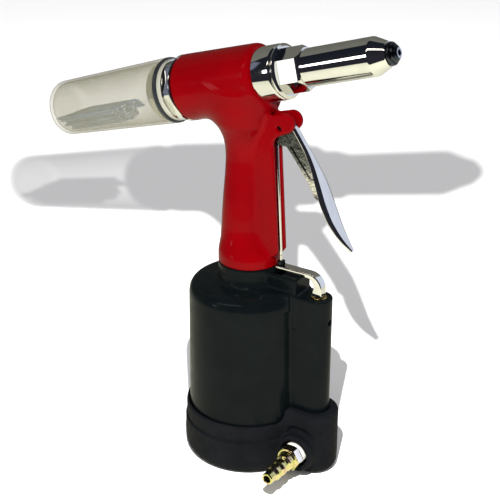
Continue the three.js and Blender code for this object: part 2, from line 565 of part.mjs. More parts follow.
addPart(gun, 'air_piston_nut', cut(
  prism(6, 13, 13, PISTON_FLOOR - GAP), bar(4.2, 0, 40, SEGMENTS.small)), FINISH.steel);
addPart(gun, 'piston_cushion', ring(24, 16.4, 109, CEILING - GAP), FINISH.blackRubber);

// ---------------------------------------------------------------- closed bottom end
addPart(gun, 'cylinder_cap', turned([
  [0, 4], [35.1, 4], [35.1, 6.6], [33.2, 6.6], [33.2, 9.2], [35.1, 9.2], [35.1, 12], [30, 12], [28, 8],
  [0, 8],
]), FINISH.aluminium);
addPart(gun, 'cylinder_cap_seal', ring(35.2, 33.5, 6.9, 8.9), FINISH.blackRubber);
addPart(gun, 'cap_retaining_ring', ring(35.1, 31.6, 12.3, 14), FINISH.steel);

function baseCover() {
  const round = 4.6;
  const drum = turned([
    [0, 0], [BOOT_RADIUS - round, 0], [BOOT_RADIUS - 0.3 * round, 0.3 * round], [BOOT_RADIUS, round],
    [BOOT_RADIUS, BOOT_RIDGE], [BOOT_RADIUS - 0.7, BOOT_RIDGE + 1], [BOOT_RADIUS - 0.7, BOOT_TOP - 1],
    [BOOT_RADIUS - 1.5, BOOT_TOP], [0, BOOT_TOP],
  ], SEGMENTS.large);
  const pod = join(
    floorPlate(tongue(20, BOSS_X, POD_RADIUS - round), 0, round),
    floorPlate(tongue(20, BOSS_X, POD_RADIUS - 0.3 * round), 0.3 * round, round),
    floorPlate(tongue(20, BOSS_X, POD_RADIUS), round, POD_TOP - 2),
    floorPlate(tongue(20, BOSS_X, POD_RADIUS - 1.6), POD_TOP - 3, POD_TOP));
  const inletBoss = crossBar(INLET.x, INLET.z, 12.4, -20.4, 0, SEGMENTS.medium);
  const drumHollow = bar(CYLINDER_RADIUS_LOW + GAP, 3, 80, SEGMENTS.large);
  const podHollow = floorPlate(tongue(20, BOSS_X, BOSS_HALF_WIDTH + GAP), BOSS_BOTTOM - GAP, 80);
  const inletHollow = crossBar(INLET.x, INLET.z, 9, -40, 0);
  return cut(join(drum, pod, inletBoss), drumHollow, podHollow, inletHollow);
}
addPart(gun, 'base_cover', baseCover(), FINISH.blackRubber);

// ---------------------------------------------------------------- air inlet, along -Y
const inletGroup = new THREE.Group();             // local +Z points out of the inlet
inletGroup.position.set(INLET.x, 0, INLET.z);
inletGroup.rotation.x = Math.PI / 2;
gun.add(inletGroup);
addPart(inletGroup, 'inlet_thread_ring', ring(7.2, 5.7, 16, 21, SEGMENTS.small), FINISH.whitePlastic);
function airPlug() {
  const body = turned([
    [0, 9], [5.4, 9], [5.4, 21.3], [7, 21.3], [7, 22], [5.6, 27.6], [5.6, 32.4], [3.9, 33.6], [3.9, 35.4],
    [5.2, 36.4], [5.2, 38.8], [4.1, 40.4], [4.1, 41.6], [4.9, 42.4], [4.9, 44.8], [3.8, 46.4],
    [3.8, 51.4], [3.4, 52], [0, 52],
  ], SEGMENTS.small);
  const hexagon = prism(6, 14, 21.3, 27.4, Math.PI / 6);
  return cut(join(body, hexagon), bar(2.3, 0, 60, SEGMENTS.tiny));
}
addPart(inletGroup, 'air_inlet_plug', airPlug(), FINISH.zincYellow);

export default gun;
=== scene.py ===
"""Looks of an air-hydraulic blind rivet gun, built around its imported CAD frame.

Lengths are in millimetres until a mesh is made, which is in metres. Castings are signed distance fields
turned into meshes, turned parts are lathed outlines, and bars are outlines swept along a line.
"""

import json
import math
import random

import bmesh
import bpy
import numpy as np
from mathutils import Matrix, Vector


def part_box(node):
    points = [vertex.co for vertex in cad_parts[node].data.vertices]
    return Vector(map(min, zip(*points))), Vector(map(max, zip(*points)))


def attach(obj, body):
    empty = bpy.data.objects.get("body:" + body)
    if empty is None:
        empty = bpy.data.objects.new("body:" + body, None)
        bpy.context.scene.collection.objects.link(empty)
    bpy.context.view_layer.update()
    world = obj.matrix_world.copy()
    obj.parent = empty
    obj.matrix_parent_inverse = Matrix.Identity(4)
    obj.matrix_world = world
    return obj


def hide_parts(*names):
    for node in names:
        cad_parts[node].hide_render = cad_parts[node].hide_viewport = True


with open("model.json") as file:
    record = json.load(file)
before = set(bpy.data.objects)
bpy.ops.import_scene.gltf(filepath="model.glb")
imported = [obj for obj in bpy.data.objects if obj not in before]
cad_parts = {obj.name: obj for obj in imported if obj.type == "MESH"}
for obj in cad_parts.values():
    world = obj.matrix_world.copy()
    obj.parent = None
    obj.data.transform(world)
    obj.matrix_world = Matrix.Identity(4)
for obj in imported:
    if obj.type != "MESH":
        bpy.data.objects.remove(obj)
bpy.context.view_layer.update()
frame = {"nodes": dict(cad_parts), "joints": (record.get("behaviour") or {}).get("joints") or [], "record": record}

MM = 0.001

# ------------------------------------------------------------------ driving places, read from the frame
joints = {joint["name"]: joint for joint in frame["joints"]}
NOSE_WAY = -Vector(joints["pull_stroke"]["axis"])
PIVOT = Vector(joints["trigger_squeeze"]["pos_m"]) / MM


def middle(node):
    """The middle of a CAD node's box."""
    low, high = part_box(node)
    return (low + high) / 2 / MM


def highest(node):
    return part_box(node)[1] / MM


def lowest(node):
    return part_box(node)[0] / MM


tube_middle = middle("mandrel_tube")
BARREL_HEIGHT = tube_middle.z - tube_middle.x * NOSE_WAY.z / NOSE_WAY.x
BARREL_RADIUS = highest("main_frame").y
COLLAR_BOTTOM = lowest("main_frame").z
VALVE_X = middle("valve_bushing").x
INLET = middle("inlet_thread_ring")
SCREW = middle("bleed_screw")
CYLINDER_BOTTOM = lowest("air_cylinder").z
CYLINDER_RADIUS = highest("air_cylinder").y
BOOT_RADIUS = highest("base_cover").y
POD_TOP = highest("base_cover").z
ROD_HEAD = Vector((PIVOT.x - 5.1, 0, PIVOT.z))
ROD_FOOT = Vector((middle("push_rod_nut").x + 0.1, 0, lowest("push_rod").z))
LEVER_TOP = highest("valve_lever").z
LEVER_FOOT = lowest("valve_lever").z

# Station along the barrel becomes local Z, local X points down and local Y is the gun's +Y.
DOWN = Vector((NOSE_WAY.z, 0, -NOSE_WAY.x))
BARREL = Matrix.Translation((0, 0, BARREL_HEIGHT)) @ Matrix((DOWN, (0, 1, 0), NOSE_WAY)).transposed().to_4x4()
NEAR, FAR = -1, 1


def across_at(spot, side):
    """A place on the middle plane whose local Z points to the near or the far side."""
    return Matrix.Translation((spot.x, 0, spot.z)) @ Matrix.Rotation(-side * math.pi / 2, 4, "X")


INLET_PLACE = across_at(INLET, NEAR)


# ------------------------------------------------------------------ meshes
def as_piece(name, mesh, body, *nodes, slot, material=None):
    """The mesh as an object on a body, in its slot's finish or another, which stands for CAD nodes."""
    mesh.name = name
    material = material or FINISHES[slot]
    piece = bpy.data.objects.new(name, mesh)
    bpy.context.scene.collection.objects.link(piece)
    if mesh.materials:
        mesh.materials[0] = material
    else:
        mesh.materials.append(material)
    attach(piece, body)
    if nodes:
        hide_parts(*nodes)


def finished(shape, sharp):
    """A bmesh in millimetres as a smooth mesh in metres, with its edges over `sharp` degrees kept crisp."""
    bmesh.ops.remove_doubles(shape, verts=shape.verts, dist=1e-4)
    bmesh.ops.recalc_face_normals(shape, faces=shape.faces)
    bmesh.ops.scale(shape, vec=(MM, MM, MM), verts=shape.verts)
    mesh = bpy.data.meshes.new("piece")
    shape.to_mesh(mesh)
    shape.free()
    mesh.shade_smooth()
    mesh.set_sharp_from_angle(angle=math.radians(sharp))
    return mesh


def softened(points, steps=5):
    """A closed outline of (a, b) or (a, b, fillet) points, with each fillet as a short curve."""
    path = []
    for i, point in enumerate(points):
        corner = Vector(point[:2])
        fillet = point[2] if len(point) > 2 else 0
        if not fillet:
            path.append(corner)
            continue
        before = Vector(points[i - 1][:2]) - corner
        after = Vector(points[(i + 1) % len(points)][:2]) - corner
        reach = min(fillet, before.length * 0.48, after.length * 0.48)
        first = corner + before.normalized() * reach
        last = corner + after.normalized() * reach
        for k in range(steps + 1):
            t = k / steps
            path.append(first * (1 - t) ** 2 + corner * 2 * t * (1 - t) + last * t ** 2)
    return path


def lathed(outline, place, segments=96, hexagon=None, sharp=28):
    """A closed outline of (radius, height[, fillet]) turned about Z, then placed.

    hexagon = (half width across flats, low, high, angle of a flat) cuts flats between two heights.
    """
    shape = bmesh.new()
    path = softened(outline)
    rings = []
    for step in range(segments):
        angle = 2 * math.pi * step / segments
        ring = []
        for radius, height in path:
            if hexagon and hexagon[1] <= height <= hexagon[2]:
                turn = (angle - hexagon[3] + math.pi / 6) % (math.pi / 3) - math.pi / 6
                radius = min(radius, hexagon[0] / math.cos(turn))
            point = Vector((radius * math.cos(angle), radius * math.sin(angle), height))
            ring.append(shape.verts.new(place @ point))
        rings.append(ring)
    for step in range(segments):
        here, there = rings[step], rings[(step + 1) % segments]
        for k in range(len(path)):
            shape.faces.new((here[k - 1], here[k], there[k], there[k - 1]))
    return finished(shape, sharp)


def finish_part(mesh, material, place, chosen):
    """Gives a second material to the faces whose centre and normal, in the place's own frame, are chosen."""
    mesh.materials.append(None)
    mesh.materials.append(material)
    back = place.inverted()
    for face in mesh.polygons:
        if chosen(back @ (face.center / MM), back.to_3x3() @ face.normal):
            face.material_index = 1


def swept(sections, sharp):
    """Rings of points, all of one count, joined into a closed skin."""
    shape = bmesh.new()
    rings = [[shape.verts.new(point) for point in section] for section in sections]
    count = len(rings[0])
    for here, there in zip(rings, rings[1:]):
        for k in range(count):
            shape.faces.new((here[k - 1], here[k], there[k], there[k - 1]))
    shape.faces.new(rings[0])
    shape.faces.new(rings[-1])
    return finished(shape, sharp)


def smooth_line(points, per_span):
    """A Catmull-Rom curve through a list of points."""
    ends = [2 * points[0] - points[1], *points, 2 * points[-1] - points[-2]]
    line = []
    for a, b, c, d in zip(ends, ends[1:], ends[2:], ends[3:]):
        for k in range(per_span):
            t = k / per_span
            line.append(0.5 * (2 * b + (c - a) * t + (2 * a - 5 * b + 4 * c - d) * t ** 2
                               + (3 * b - 3 * c + d - a) * t ** 3))
    line.append(points[-1])
    return line


# ------------------------------------------------------------------ distance fields, negative inside
def union(a, b, fillet=0.0):
    """Both shapes, with a fillet where they meet."""
    if not fillet:
        return np.minimum(a, b)
    near = np.maximum(fillet - np.abs(a - b), 0)
    return np.minimum(a, b) - near * near / (4 * fillet)


def overlap(a, b, fillet=0.0):
    """Where both shapes are, with a rounded edge."""
    return -union(-a, -b, fillet)


def carve(a, b, fillet=0.0):
    """The first shape without the second."""
    return overlap(a, -b, fillet)


def slab(v, low, high):
    return np.abs(v - (low + high) / 2) - (high - low) / 2


def tongue(x, y, end_x, half_width):
    """Half of a stadium: a bar along +X with a round end centred at end_x."""
    return np.hypot(np.maximum(x - end_x, 0), y) - half_width


def polygon(u, v, outline):
    """The exact signed distance to a closed outline."""
    nearest = np.full(np.shape(u), 1e12)
    inside = np.zeros(np.shape(u), bool)
    for (au, av), (bu, bv) in zip(outline, outline[1:] + outline[:1]):
        eu, ev = bu - au, bv - av
        wu, wv = u - au, v - av
        t = np.clip((wu * eu + wv * ev) / (eu * eu + ev * ev), 0, 1)
        nearest = np.minimum(nearest, (wu - eu * t) ** 2 + (wv - ev * t) ** 2)
        crosses = (av > v) != (bv > v)
        if ev:
            inside ^= crosses & (u < au + eu * (v - av) / ev)
    return np.sqrt(nearest) * np.where(inside, -1, 1)


def eased(knots, reach):
    """A smooth radius over height, from (height, radius) knots blurred over `reach`."""
    heights = np.arange(knots[0][0] - 4 * reach, knots[-1][0] + 4 * reach, 0.25)
    radii = np.interp(heights, *zip(*knots))
    spread = np.arange(-3 * reach, 3 * reach + 0.1, 0.25)
    weights = np.exp(-0.5 * (spread / reach) ** 2)
    padded = np.pad(radii, len(spread) // 2, mode="edge")
    blurred = np.convolve(padded, weights / weights.sum(), "valid")[: len(heights)]
    return lambda z: np.interp(z, heights, blurred)


def barrel_place(x, y, z):
    """Station along the barrel, distance from its axis, and how far below the axis."""
    height = z - BARREL_HEIGHT
    station = x * NOSE_WAY.x + height * NOSE_WAY.z
    down = x * NOSE_WAY.z - height * NOSE_WAY.x
    return station, np.hypot(down, y), down


def sampled(field, low, step, counts):
    """The field on a grid. Blocks that the surface can't reach keep the value at their middle."""
    side = 8
    blocks = [-(-count // side) for count in counts]
    middles = [low[k] + step * side * (np.arange(blocks[k]) + 0.5) - step / 2 for k in range(3)]
    cx, cy, cz = np.meshgrid(*middles, indexing="ij")
    rough = field(cx, cy, cz)
    values = np.broadcast_to(rough[..., None, None, None], (*blocks, side, side, side)).copy()
    near = np.abs(rough) < 1.35 * side * step
    offsets = step * (np.arange(side) - side / 2 + 0.5)
    ox, oy, oz = np.meshgrid(offsets, offsets, offsets, indexing="ij")
    spots = [c[near][:, None, None, None] + o for c, o in ((cx, ox), (cy, oy), (cz, oz))]
    values[near] = field(*spots)
    values = values.transpose(0, 3, 1, 4, 2, 5)
    return values.reshape([count * side for count in blocks])


def slope(field, points, reach):
    """The field's gradient at some points."""
    columns = []
    for axis in range(3):
        shift = np.zeros(3)
        shift[axis] = reach
        columns.append((field(*(points + shift).T) - field(*(points - shift).T)) / (2 * reach))
    return np.stack(columns, axis=1)


def cast(field, low, high, step):
    """The surface where a field is zero, as a mesh whose normals are the field's own."""
    low = np.array(low, float) - 2 * step
    counts = np.ceil((np.array(high) + 2 * step - low) / step).astype(int) + 1
    values = sampled(field, low, step, counts)
    inside = values < 0
    cells = [n - 1 for n in inside.shape]
    corners = [(i, j, k) for i in (0, 1) for j in (0, 1) for k in (0, 1)]
    filled = sum(inside[i:i + cells[0], j:j + cells[1], k:k + cells[2]].astype(np.int8)
                 for i, j, k in corners)
    active = (filled > 0) & (filled < 8)
    number = np.full(active.shape, -1)
    number[active] = np.arange(active.sum())
    cell = np.argwhere(active)

    total = np.zeros((len(cell), 3))
    count = np.zeros(len(cell))
    for start in corners:
        for axis in range(3):
            if start[axis]:
                continue
            end = list(start)
            end[axis] = 1
            a = values[tuple((cell + start).T)]
            b = values[tuple((cell + end).T)]
            crossed = (a < 0) != (b < 0)
            share = np.where(crossed, a / np.where(crossed, a - b, 1), 0)
            spot = np.array(start, float) + np.outer(share, np.eye(3)[axis])
            total += spot * crossed[:, None]
            count += crossed
    points = low + step * (cell + total / count[:, None])

    faces = []
    for axis in range(3):
        u, v = (axis + 1) % 3, (axis + 2) % 3
        ahead = [slice(None)] * 3
        behind = [slice(None)] * 3
        ahead[axis], behind[axis] = slice(1, None), slice(None, -1)
        flips = inside[tuple(ahead)] != inside[tuple(behind)]
        edge = np.argwhere(flips)
        edge = edge[(edge[:, u] > 0) & (edge[:, v] > 0)]
        outward = inside[tuple(edge.T)]
        ring = []
        for du, dv in ((1, 1), (0, 1), (0, 0), (1, 0)):
            at = edge.copy()
            at[:, u] -= du
            at[:, v] -= dv
            ring.append(number[tuple(at.T)])
        quads = np.stack(ring, axis=1)
        quads[~outward] = quads[~outward][:, ::-1]
        faces.append(quads)
    faces = np.concatenate(faces)

    for _ in range(4):
        gradient = slope(field, points, step / 20)
        steepness = np.maximum((gradient ** 2).sum(axis=1), 0.05)
        move = -(field(*points.T) / steepness)[:, None] * gradient
        length = np.maximum(np.linalg.norm(move, axis=1), 1e-9)
        points = points + move * np.minimum(1, 0.4 * step / length)[:, None]
    normals = slope(field, points, step / 4)
    normals /= np.maximum(np.linalg.norm(normals, axis=1), 1e-9)[:, None]

    mesh = bpy.data.meshes.new("piece")
    mesh.from_pydata(points * MM, [], faces.tolist())
    mesh.shade_smooth()
    mesh.normals_split_custom_set_from_vertices(normals)
    return mesh


# ------------------------------------------------------------------ shader nodes
def calculate(tree, operation, *values, kind="ShaderNodeMath"):
    """A maths node over numbers, vectors and sockets."""
    node = tree.nodes.new(kind)
    node.operation = operation
    for socket, value in zip(node.inputs, values):
        if isinstance(value, bpy.types.NodeSocket):
            tree.links.new(value, socket)
        else:
            socket.default_value = value
    return node.outputs["Value"]


def gate(tree, value, closed, opened):
    """0 up to one value, 1 from the other on, and a straight climb between them."""
    node = tree.nodes.new("ShaderNodeMapRange")
    node.inputs["From Min"].default_value = closed
    node.inputs["From Max"].default_value = opened
    tree.links.new(value, node.inputs["Value"])
    return node.outputs["Result"]


def both(tree, *factors):
    """The product of some factors."""
    product = factors[0]
    for factor in factors[1:]:
        product = calculate(tree, "MULTIPLY", product, factor)
    return product


def blend(tree, factor, under, colour):
    """A colour laid over what is under it, by a factor."""
    node = tree.nodes.new("ShaderNodeMix")
    node.data_type = "RGBA"
    tree.links.new(factor, node.inputs["Factor"])
    tree.links.new(under, node.inputs["A"])
    node.inputs["B"].default_value = (*colour, 1)
    return node.outputs["Result"]


def ramp(tree, factor, *stops):
    """A colour ramp over a factor, of (position, colour) stops."""
    node = tree.nodes.new("ShaderNodeValToRGB")
    elements = node.color_ramp.elements
    while len(elements) < len(stops):
        elements.new(0.5)
    for element, (position, colour) in zip(elements, stops):
        element.position = position
        element.color = (*colour, 1)
    tree.links.new(factor, node.inputs["Fac"])
    return node.outputs["Color"]


# ------------------------------------------------------------------ materials
class Finish:
    """A material with one Principled shader and a few noise nodes, in millimetres of the piece."""

    def __init__(self, name, **values):
        self.material = bpy.data.materials.new(name)
        self.material.use_nodes = True
        self.tree = self.material.node_tree
        self.shader = self.tree.nodes["Principled BSDF"]
        for socket, value in values.items():
            self.shader.inputs[socket.replace("_", " ")].default_value = value
        self.bump = None

    def add(self, kind, **values):
        node = self.tree.nodes.new(kind)
        for key, value in values.items():
            if hasattr(node, key):
                setattr(node, key, value)
            else:
                node.inputs[key.replace("_", " ")].default_value = value
        return node

    def link(self, source, target):
        self.tree.links.new(source, target)

    def place(self, stretch=(1, 1, 1), turn=(0, 0, 0)):
        """The point on the piece, turned and stretched, in millimetres."""
        where = self.add("ShaderNodeTexCoord").outputs["Object"]
        mapping = self.add("ShaderNodeMapping")
        mapping.inputs["Rotation"].default_value = turn
        mapping.inputs["Scale"].default_value = [s / MM for s in stretch]
        self.link(where, mapping.inputs["Vector"])
        return mapping.outputs["Vector"]

    def noise(self, size, detail=3.0, rough=0.55, stretch=(1, 1, 1), turn=(0, 0, 0)):
        """Noise whose lumps are about `size` millimetres across."""
        node = self.add("ShaderNodeTexNoise", Scale=1 / size, Detail=detail, Roughness=rough)
        self.link(self.place(stretch, turn), node.inputs["Vector"])
        return node.outputs["Fac"]

    def height(self, low, high):
        """0 at one height and 1 at another, in millimetres."""
        split = self.add("ShaderNodeSeparateXYZ")
        self.link(self.place(), split.inputs["Vector"])
        return gate(self.tree, split.outputs["Z"], low, high)

    def tint(self, factor, *stops):
        self.link(ramp(self.tree, factor, *stops), self.shader.inputs["Base Color"])

    def vary(self, socket, factor, low, high, start=0.3, end=0.7):
        """A socket that follows a factor between two values."""
        node = self.add("ShaderNodeMapRange")
        for key, value in (("From Min", start), ("From Max", end), ("To Min", low), ("To Max", high)):
            node.inputs[key].default_value = value
        self.link(factor, node.inputs["Value"])
        self.link(node.outputs["Result"], self.shader.inputs[socket])

    def relief(self, factor, height):
        """Bump of `height` millimetres, on top of what is there."""
        node = self.add("ShaderNodeBump", Strength=1.0, Distance=height * MM)
        self.link(factor, node.inputs["Height"])
        if self.bump:
            self.link(self.bump, node.inputs["Normal"])
        self.bump = node.outputs["Normal"]
        self.link(self.bump, self.shader.inputs["Normal"])


def shades(colour, spread):
    """Darker and lighter versions of a colour."""
    return [tuple(min(1, c * k) for c in colour) for k in (1 - spread, 1 + spread)]


def metal(name, colour, roughness, grain=0.02, grain_size=1.5, spread=0.06, stretch=(1, 1, 1), turn=(0, 0,
                                                                                                     0)):
    """A bare or plated metal with faint blotches, uneven polish and a fine grain."""
    finish = Finish(name, Metallic=1.0)
    dark, light = shades(colour, spread)
    finish.tint(finish.noise(9), (0.3, dark), (0.7, light))
    finish.vary("Roughness", finish.noise(5, detail=5), roughness * 0.75, roughness * 1.35)
    finish.relief(finish.noise(grain_size, detail=4, stretch=stretch, turn=turn), grain)
    return finish.material


BARREL_TURN = (0, math.atan2(NOSE_WAY.z, NOSE_WAY.x), 0)   # lays the barrel along the texture's X


def red_paint():
    finish = Finish("red_paint", Specular_IOR_Level=0.03, Coat_Weight=0.06, Coat_Roughness=0.06)
    finish.tint(finish.noise(24), (0.3, (0.112, 0.0, 0.001)), (0.7, (0.132, 0.0, 0.001)))
    finish.vary("Roughness", finish.noise(7, detail=4), 0.24, 0.32)
    finish.relief(finish.noise(3.2, detail=1), 0.006)
    return finish.material


def black_casting():
    finish = Finish("black_casting", Specular_IOR_Level=0.03, Coat_Weight=0.1, Coat_Roughness=0.12)
    finish.tint(finish.noise(16), (0.3, (0.0015, 0.0026, 0.0030)), (0.7, (0.0026, 0.0038, 0.0042)))
    finish.vary("Roughness", finish.noise(6, detail=5), 0.3, 0.42)
    finish.relief(finish.noise(1.1, detail=4), 0.012)
    finish.relief(finish.noise(9, detail=2), 0.05)
    return finish.material


def black_rubber():
    finish = Finish("black_rubber", Specular_IOR_Level=0.08)
    finish.tint(finish.noise(12), (0.3, (0.0032, 0.0037, 0.0046)), (0.7, (0.0050, 0.0056, 0.0068)))
    finish.vary("Roughness", finish.noise(4, detail=5), 0.62, 0.8)
    finish.relief(finish.noise(0.6, detail=3), 0.03)
    finish.relief(finish.noise(14, detail=2), 0.12)
    return finish.material


def milky_plastic():
    """A thin translucent wall: more of it is seen through where it faces the eye than at its edges."""
    finish = Finish("milky_plastic", Specular_IOR_Level=0.15)
    finish.tint(finish.noise(20), (0.3, (0.235, 0.22, 0.145)), (0.7, (0.27, 0.255, 0.175)))
    finish.vary("Roughness", finish.noise(6), 0.4, 0.5)
    edge = finish.add("ShaderNodeLayerWeight", Blend=0.3)
    finish.vary("Alpha", edge.outputs["Facing"], 0.22, 0.8, start=0.1, end=1.0)
    finish.relief(finish.noise(8, detail=2), 0.03)
    return finish.material


def chrome_painted_shade_and_reflection():
    """Plating over a casting. Its colour runs with height: painted shade under the ears, a painted bright
    reflection lower down, and dark again at the very bottom.
    """
    finish = Finish("chrome_painted_shade_and_reflection", Metallic=1.0)
    # Painted light by height: dark painted shade under the ears at the top, a bright painted reflection below it,
    # then dark again at the bottom end.
    finish.tint(finish.height(214, 183), (0.0, (0.10, 0.105, 0.10)), (0.4, (0.24, 0.25, 0.23)),
                (0.65, (0.80, 0.79, 0.72)), (0.86, (0.74, 0.73, 0.66)), (0.96, (0.07, 0.07, 0.07)))
    finish.vary("Roughness", finish.noise(2, detail=5), 0.14, 0.3)
    finish.relief(finish.noise(2.4, detail=5), 0.5)
    return finish.material


def mandrel_wire():
    finish = Finish("mandrel_wire", Metallic=0.3)
    finish.tint(finish.noise(6, stretch=(0.2, 1, 1), turn=BARREL_TURN), (0.3, (0.06, 0.13, 0.26)),
                (0.7, (0.15, 0.26, 0.42)))
    finish.vary("Roughness", finish.noise(3), 0.3, 0.42)
    finish.relief(finish.noise(0.8), 0.01)
    return finish.material


def brushed(name, colour):
    """Metal ground with a coarse belt, which scatters most of what it reflects."""
    finish = Finish(name, Metallic=0.4)
    dark, light = shades(colour, 0.05)
    finish.tint(finish.noise(0.5, stretch=(1, 0.1, 0.1), turn=BARREL_TURN), (0.3, dark), (0.7, light))
    finish.vary("Roughness", finish.noise(2), 0.4, 0.55)
    finish.relief(finish.noise(0.45, stretch=(1, 0.08, 0.08), turn=BARREL_TURN), 0.06)
    return finish.material


def zinc_yellow():
    """Yellow chromate: the film's colour drifts between yellow, green and pink."""
    finish = Finish("zinc_yellow", Metallic=1.0)
    finish.tint(finish.noise(4.2, detail=2, rough=0.7), (0.30, (0.46, 0.52, 0.20)),
                (0.42, (0.66, 0.60, 0.20)), (0.54, (0.74, 0.66, 0.36)), (0.64, (0.62, 0.40, 0.30)),
                (0.74, (0.60, 0.60, 0.30)))
    finish.vary("Roughness", finish.noise(2, detail=4), 0.12, 0.24)
    finish.relief(finish.noise(0.9, detail=3, stretch=(0.2, 1, 0.2)), 0.012)
    return finish.material


def sealing_white():
    finish = Finish("sealing_white", Specular_IOR_Level=0.3)
    finish.tint(finish.noise(3), (0.3, (0.66, 0.63, 0.54)), (0.7, (0.80, 0.78, 0.70)))
    finish.vary("Roughness", finish.noise(2), 0.5, 0.7)
    finish.relief(finish.noise(0.8, detail=4), 0.05)
    return finish.material


def nitrile():
    finish = Finish("nitrile", Specular_IOR_Level=0.5)
    finish.tint(finish.noise(3), (0.3, (0.008, 0.009, 0.011)), (0.7, (0.014, 0.016, 0.019)))
    finish.vary("Roughness", finish.noise(2), 0.32, 0.46)
    finish.relief(finish.noise(0.5, detail=3), 0.01)
    return finish.material


FINISHES = {
    "red_paint": red_paint(),
    "chrome": metal("chrome", (0.66, 0.66, 0.63), 0.05, grain=0.004, grain_size=2.5),
    "steel": metal("steel", (0.42, 0.42, 0.42), 0.22, grain_size=0.8, stretch=(1, 1, 0.1)),
    "tool_steel": metal("tool_steel", (0.22, 0.23, 0.24), 0.3),
    "black_oxide": metal("black_oxide", (0.045, 0.052, 0.062), 0.3, grain=0.03, grain_size=0.5, spread=0.2,
                         stretch=(1, 0.1, 0.1), turn=BARREL_TURN),
    "brass": metal("brass", (0.60, 0.45, 0.16), 0.2),
    "aluminium": metal("aluminium", (0.55, 0.56, 0.57), 0.3, grain=0.03, stretch=(0.2, 0.2, 1)),
    "black_casting": black_casting(), "black_rubber": black_rubber(), "seal_rubber": nitrile(),
    "clear_plastic": milky_plastic(), "zinc_yellow": zinc_yellow(), "white_plastic": sealing_white(),
    "mandrel_steel": mandrel_wire(),
}
brushed_chrome = brushed("brushed_chrome", (0.76, 0.76, 0.72))
# Bright bluish grey that stands in for highlights: a painted highlight on one plug hexagon flat and on the front
# ends of the spent mandrels.
painted_highlight_grey = brushed("painted_highlight_grey", (0.62, 0.62, 0.68))
satin_chrome = brushed("satin_chrome", (0.40, 0.39, 0.32))
bare_tip = metal("bare_tip", (0.50, 0.52, 0.55), 0.35, grain=0.01)


# ------------------------------------------------------------------ main frame
HANDLE_X = -3.0
COLLAR_X = 1.0
FIN_HALF = 6.0
SLOT_HALF = 3.3
BARREL_REAR, BARREL_FRONT = -43.0, 12.4
BARREL_TAPER = 1.3 / (BARREL_FRONT - BARREL_REAR)
EAR_RADIUS = 5.9
grip_radius = eased([(120, 19.5), (141, 19.5), (144.5, 17.4), (148.5, 15.4), (154, 14.2), (163, 13.7),
                     (177, 12.7), (189, 11.6), (199, 11.0), (206, 11.2), (212, 12.4), (217, 14.6),
                     (222, 17.6), (230, 19.0), (240, 17.0)], 1.6)
grip_middle = eased([(120, COLLAR_X), (141, COLLAR_X), (147, -1.6), (153, HANDLE_X), (240, HANDLE_X)], 1.6)


def main_frame_field(x, y, z):
    station, radial, down = barrel_place(x, y, z)
    barrel = radial - (BARREL_RADIUS - BARREL_TAPER * (station - BARREL_REAR))
    barrel = overlap(barrel, station - BARREL_FRONT, 4.6)
    barrel = overlap(barrel, BARREL_REAR - station, 1.6)

    grip = (np.hypot(x - grip_middle(z), y) - grip_radius(z)) * 0.8
    grip = overlap(grip, slab(z, COLLAR_BOTTOM, 239), 0.8)
    fin = polygon(x, z, [(0, 142.4), (21.4, 142.4), (23.1, 144.8), (21.2, 179), (19.2, 212.4), (19.2, 218),
                         (0, 225)])
    ear = polygon(x, z, [(PIVOT.x + 4, PIVOT.z + 3.7), (6, PIVOT.z - 2.4), (10, PIVOT.z - 4.5)]) - EAR_RADIUS
    plate = overlap(union(fin - 1.0, ear, 5), np.abs(y) - FIN_HALF, 1.3)

    body = union(grip, barrel, 9)
    body = union(body, plate, 2.2)
    slot = polygon(x, z, [(12, 149.4), (20.8, 140.4), (20.8, 125.4), (50, 125.4), (50, 245.4), (18.6, 245.4),
                          (17.6, 229.8), (12, 229.8)])
    body = carve(body, overlap(slot, np.abs(y) - SLOT_HALF), 0.7)
    bores = union(overlap(radial - 14.6, 8.4 - station), overlap(radial - 16.4, station + 36))
    bores = union(bores, overlap(radial - 14, slab(station, -40, 4)))
    bores = union(bores, np.hypot(x, y) - 5.9 + np.maximum(z - 237, 0))
    bores = union(bores, overlap(np.hypot(x, y) - 9.6, z - 138.8))
    bores = union(bores, radial - 6.1)
    pin = np.hypot(x - PIVOT.x, z - PIVOT.z) - 1.6
    across = np.hypot(x - SCREW.x, z - SCREW.z)
    filler = union(overlap(across - 2.5, -y), overlap(across - 4.8, 18.6 - y))
    return carve(carve(body, bores, 0.5), union(pin, filler), 0.5)


as_piece("main_frame_casting", cast(main_frame_field, (-47, -20.2, COLLAR_BOTTOM), (35, 20.2, 270), 0.7),
         "frame", "main_frame", slot="red_paint")

# ------------------------------------------------------------------ nose
as_piece("front_bushing_turned", lathed([
    (11.4, 9, 0.3), (14.3, 9, 0.3), (14.3, 12.8), (16.1, 12.8, 0.3), (16.1, 24.7, 0.9), (14.9, 25.6, 0.4),
    (11.4, 25.6, 0.3)], BARREL), "frame", "front_bushing", slot="chrome")

HEAD_HEX = (11.3, 28.2, 41.6, math.radians(84))
head = lathed([
    (8.9, 10.2, 0.3), (11.0, 10.2, 0.3), (11.0, 25.9), (15.2, 25.9, 0.3), (15.9, 26.3, 0.4),
    (15.9, 27.2, 0.5), (14.2, 28.19), (14.2, 28.21), (13.1, 28.22, 0.2), (13.1, 39.9), (12.75, 40.3),
    (12.4, 40.7), (12.0, 41.1), (11.55, 41.58), (10.8, 41.61), (10.8, 42.2, 0.2), (10.8, 84.4, 0.5),
    (7.0, 92.4, 0.4), (6.9, 93, 0.25), (5.2, 93, 0.2), (5.2, 85, 0.2),
    (8.9, 80, 0.2)], BARREL, 120, HEAD_HEX, 20)
finish_part(head, brushed_chrome, BARREL,
            lambda spot, way: 28.3 < spot.z < 40 and abs(way.y) > 0.98 and abs(way.z) < 0.1)
as_piece("frame_head_turned", head, "frame", "frame_head", slot="chrome")

